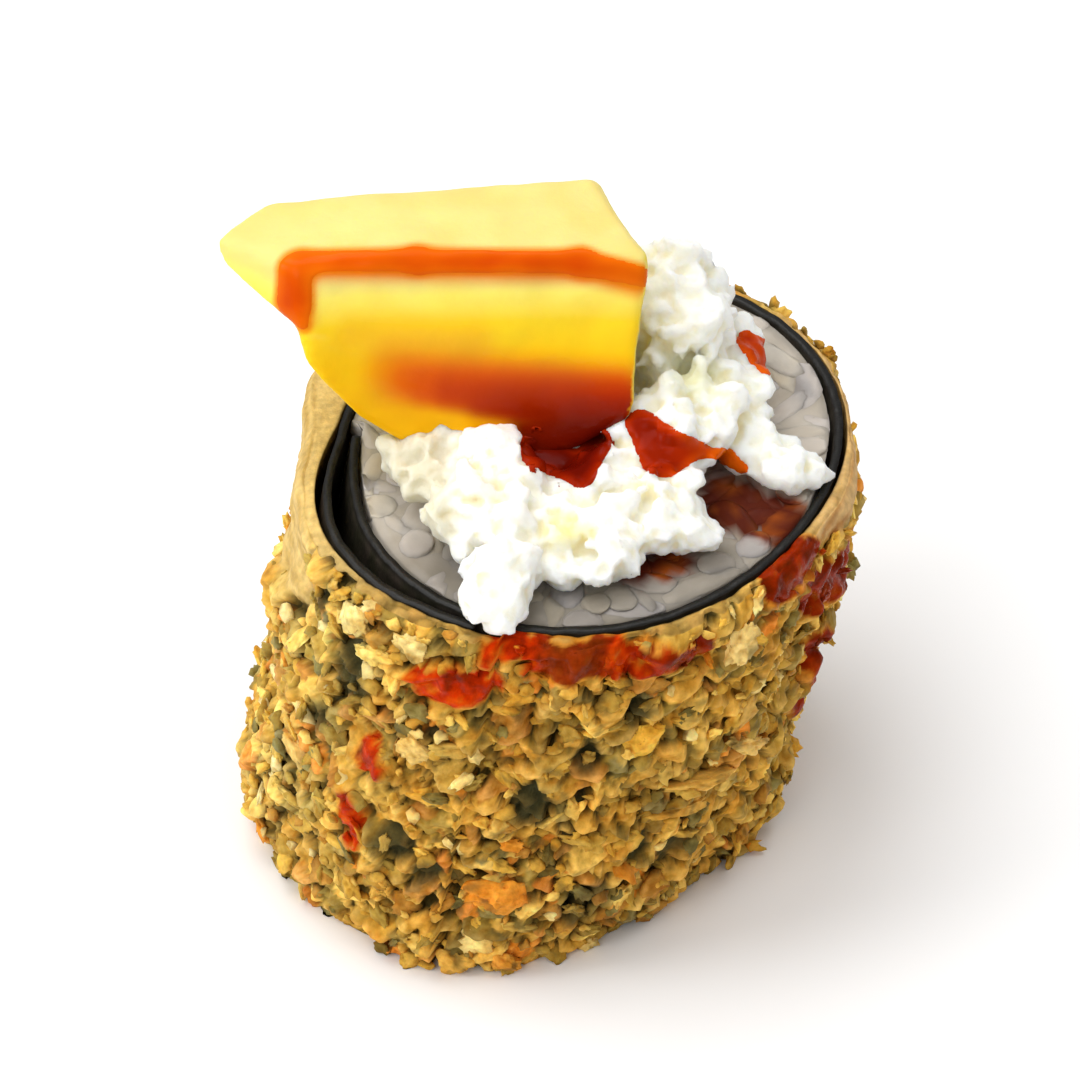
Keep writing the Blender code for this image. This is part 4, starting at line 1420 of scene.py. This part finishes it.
dress(make_shell(), shell_mat, "crumb_coat")
for crumbs in (
    make_crumbs("crumbs_flaky", 71, 3, 2.1, (0.75, 1.3), (0.28, 0.5), 0.5, CREST_PALETTE, 0.14, 420),
    make_crumbs("crumbs_medium", 72, 2, 1.25, (0.4, 0.8), (0.35, 0.7), 0.55, CREST_PALETTE, 0.08, 1200),
    make_crumbs("crumbs_strands", 74, 3, 2.1, (0.8, 1.7), (0.3, 0.5), 0.5, CREST_PALETTE, 0.20, 380, strands=True),
    make_big_crumbs(),
):
    dress(crumbs, crumb_mat, "crumb_coat")
dress(make_nori(), nori_mat, "nori")
grains, core = make_rice()
dress(grains, rice_mat, "rice")
dress(core, rice_mat, "rice")
avocado, avocado_points, avocado_faces = make_avocado()
dress(avocado, avocado_mat, "avocado")
cheese, cheese_points, cheese_faces = make_cheese((avocado_points, avocado_faces))
dress(cheese, cheese_mat, "cream_cheese")

met, met_faces, at = [], [], 0
for p, faces in (
    (avocado_points, avocado_faces),
    (cheese_points, cheese_faces),
    read_mesh(grains.data)[:2],
):
    met.append(p)
    met_faces += [(f + at).tolist() for f in faces]
    at += len(p)
tree = BVHTree.FromPolygons(np.concatenate(met).tolist(), [f for q in met_faces for f in q])
toppings = ((avocado_points, avocado_faces), (cheese_points, cheese_faces))
dress(make_film("sauce_stripe", FILM_STRIPE, toppings[:1], tree, 0.09, 81, 0.05, -0.08, 3), sauce_mat)
dress(make_film("sauce_patch", FILM_PATCH, toppings[1:], tree, 0.26, 84), sauce_mat)
dress(make_film("sauce_spot", FILM_SPOT, toppings[1:], tree, 0.22, 87), sauce_mat)

# The floor, the light and the camera

bpy.ops.mesh.primitive_plane_add(size=3, location=(0, 0, -0.00002))
floor = bpy.context.object
floor.name = "floor"
paper = bpy.data.materials.new("white")
paper.use_nodes = True
paper.node_tree.nodes["Principled BSDF"].inputs["Base Color"].default_value = (0.92, 0.92, 0.92, 1)
paper.node_tree.nodes["Principled BSDF"].inputs["Roughness"].default_value = 0.7
paper.node_tree.nodes["Principled BSDF"].inputs["Specular IOR Level"].default_value = 0.2
floor.data.materials.append(paper)


def lamp(name, at, aim, size, power, colour=(1, 1, 1)):
    data = bpy.data.lights.new(name, "AREA")
    data.shape = "DISK"
    data.size = size
    data.energy = power
    data.color = colour
    ob = bpy.data.objects.new(name, data)
    ob.location = at
    ob.rotation_euler = (Vector(aim) - Vector(at)).to_track_quat("-Z", "Y").to_euler()
    bpy.context.scene.collection.objects.link(ob)


lamp("key", (-0.20, 0.10, 0.60), (0, 0, 0.02), 0.50, 2.4)
lamp("top", (0.18, -0.02, 0.60), (0, 0, 0.03), 0.30, 0.8)
lamp("side", (-0.50, -0.10, 0.28), (0, 0, 0.02), 0.25, 0.85)
lamp("fill", (-0.28, -0.43, 0.42), (0, 0, 0.02), 0.40, 1.05)
world = bpy.data.worlds.new("world")
world.use_nodes = True
world.node_tree.nodes["Background"].inputs["Color"].default_value = (1, 1, 1, 1)
world.node_tree.nodes["Background"].inputs["Strength"].default_value = 0.45
bpy.context.scene.world = world
bpy.context.scene.view_settings.view_transform = "Standard"

camera = bpy.data.cameras.new("camera")
camera.sensor_width = 36
camera.lens = 335
camera.clip_start, camera.clip_end = 0.05, 10
view = bpy.data.objects.new("camera", camera)
aim = Vector((1.7, -0.2, 18.6)) * MM
view.location = aim + Vector((0, -STEEP, FLAT)) * 0.565
view.rotation_euler = Vector((0, STEEP, -FLAT)).to_track_quat("-Z", "Y").to_euler()
bpy.context.scene.collection.objects.link(view)
bpy.context.scene.camera = view
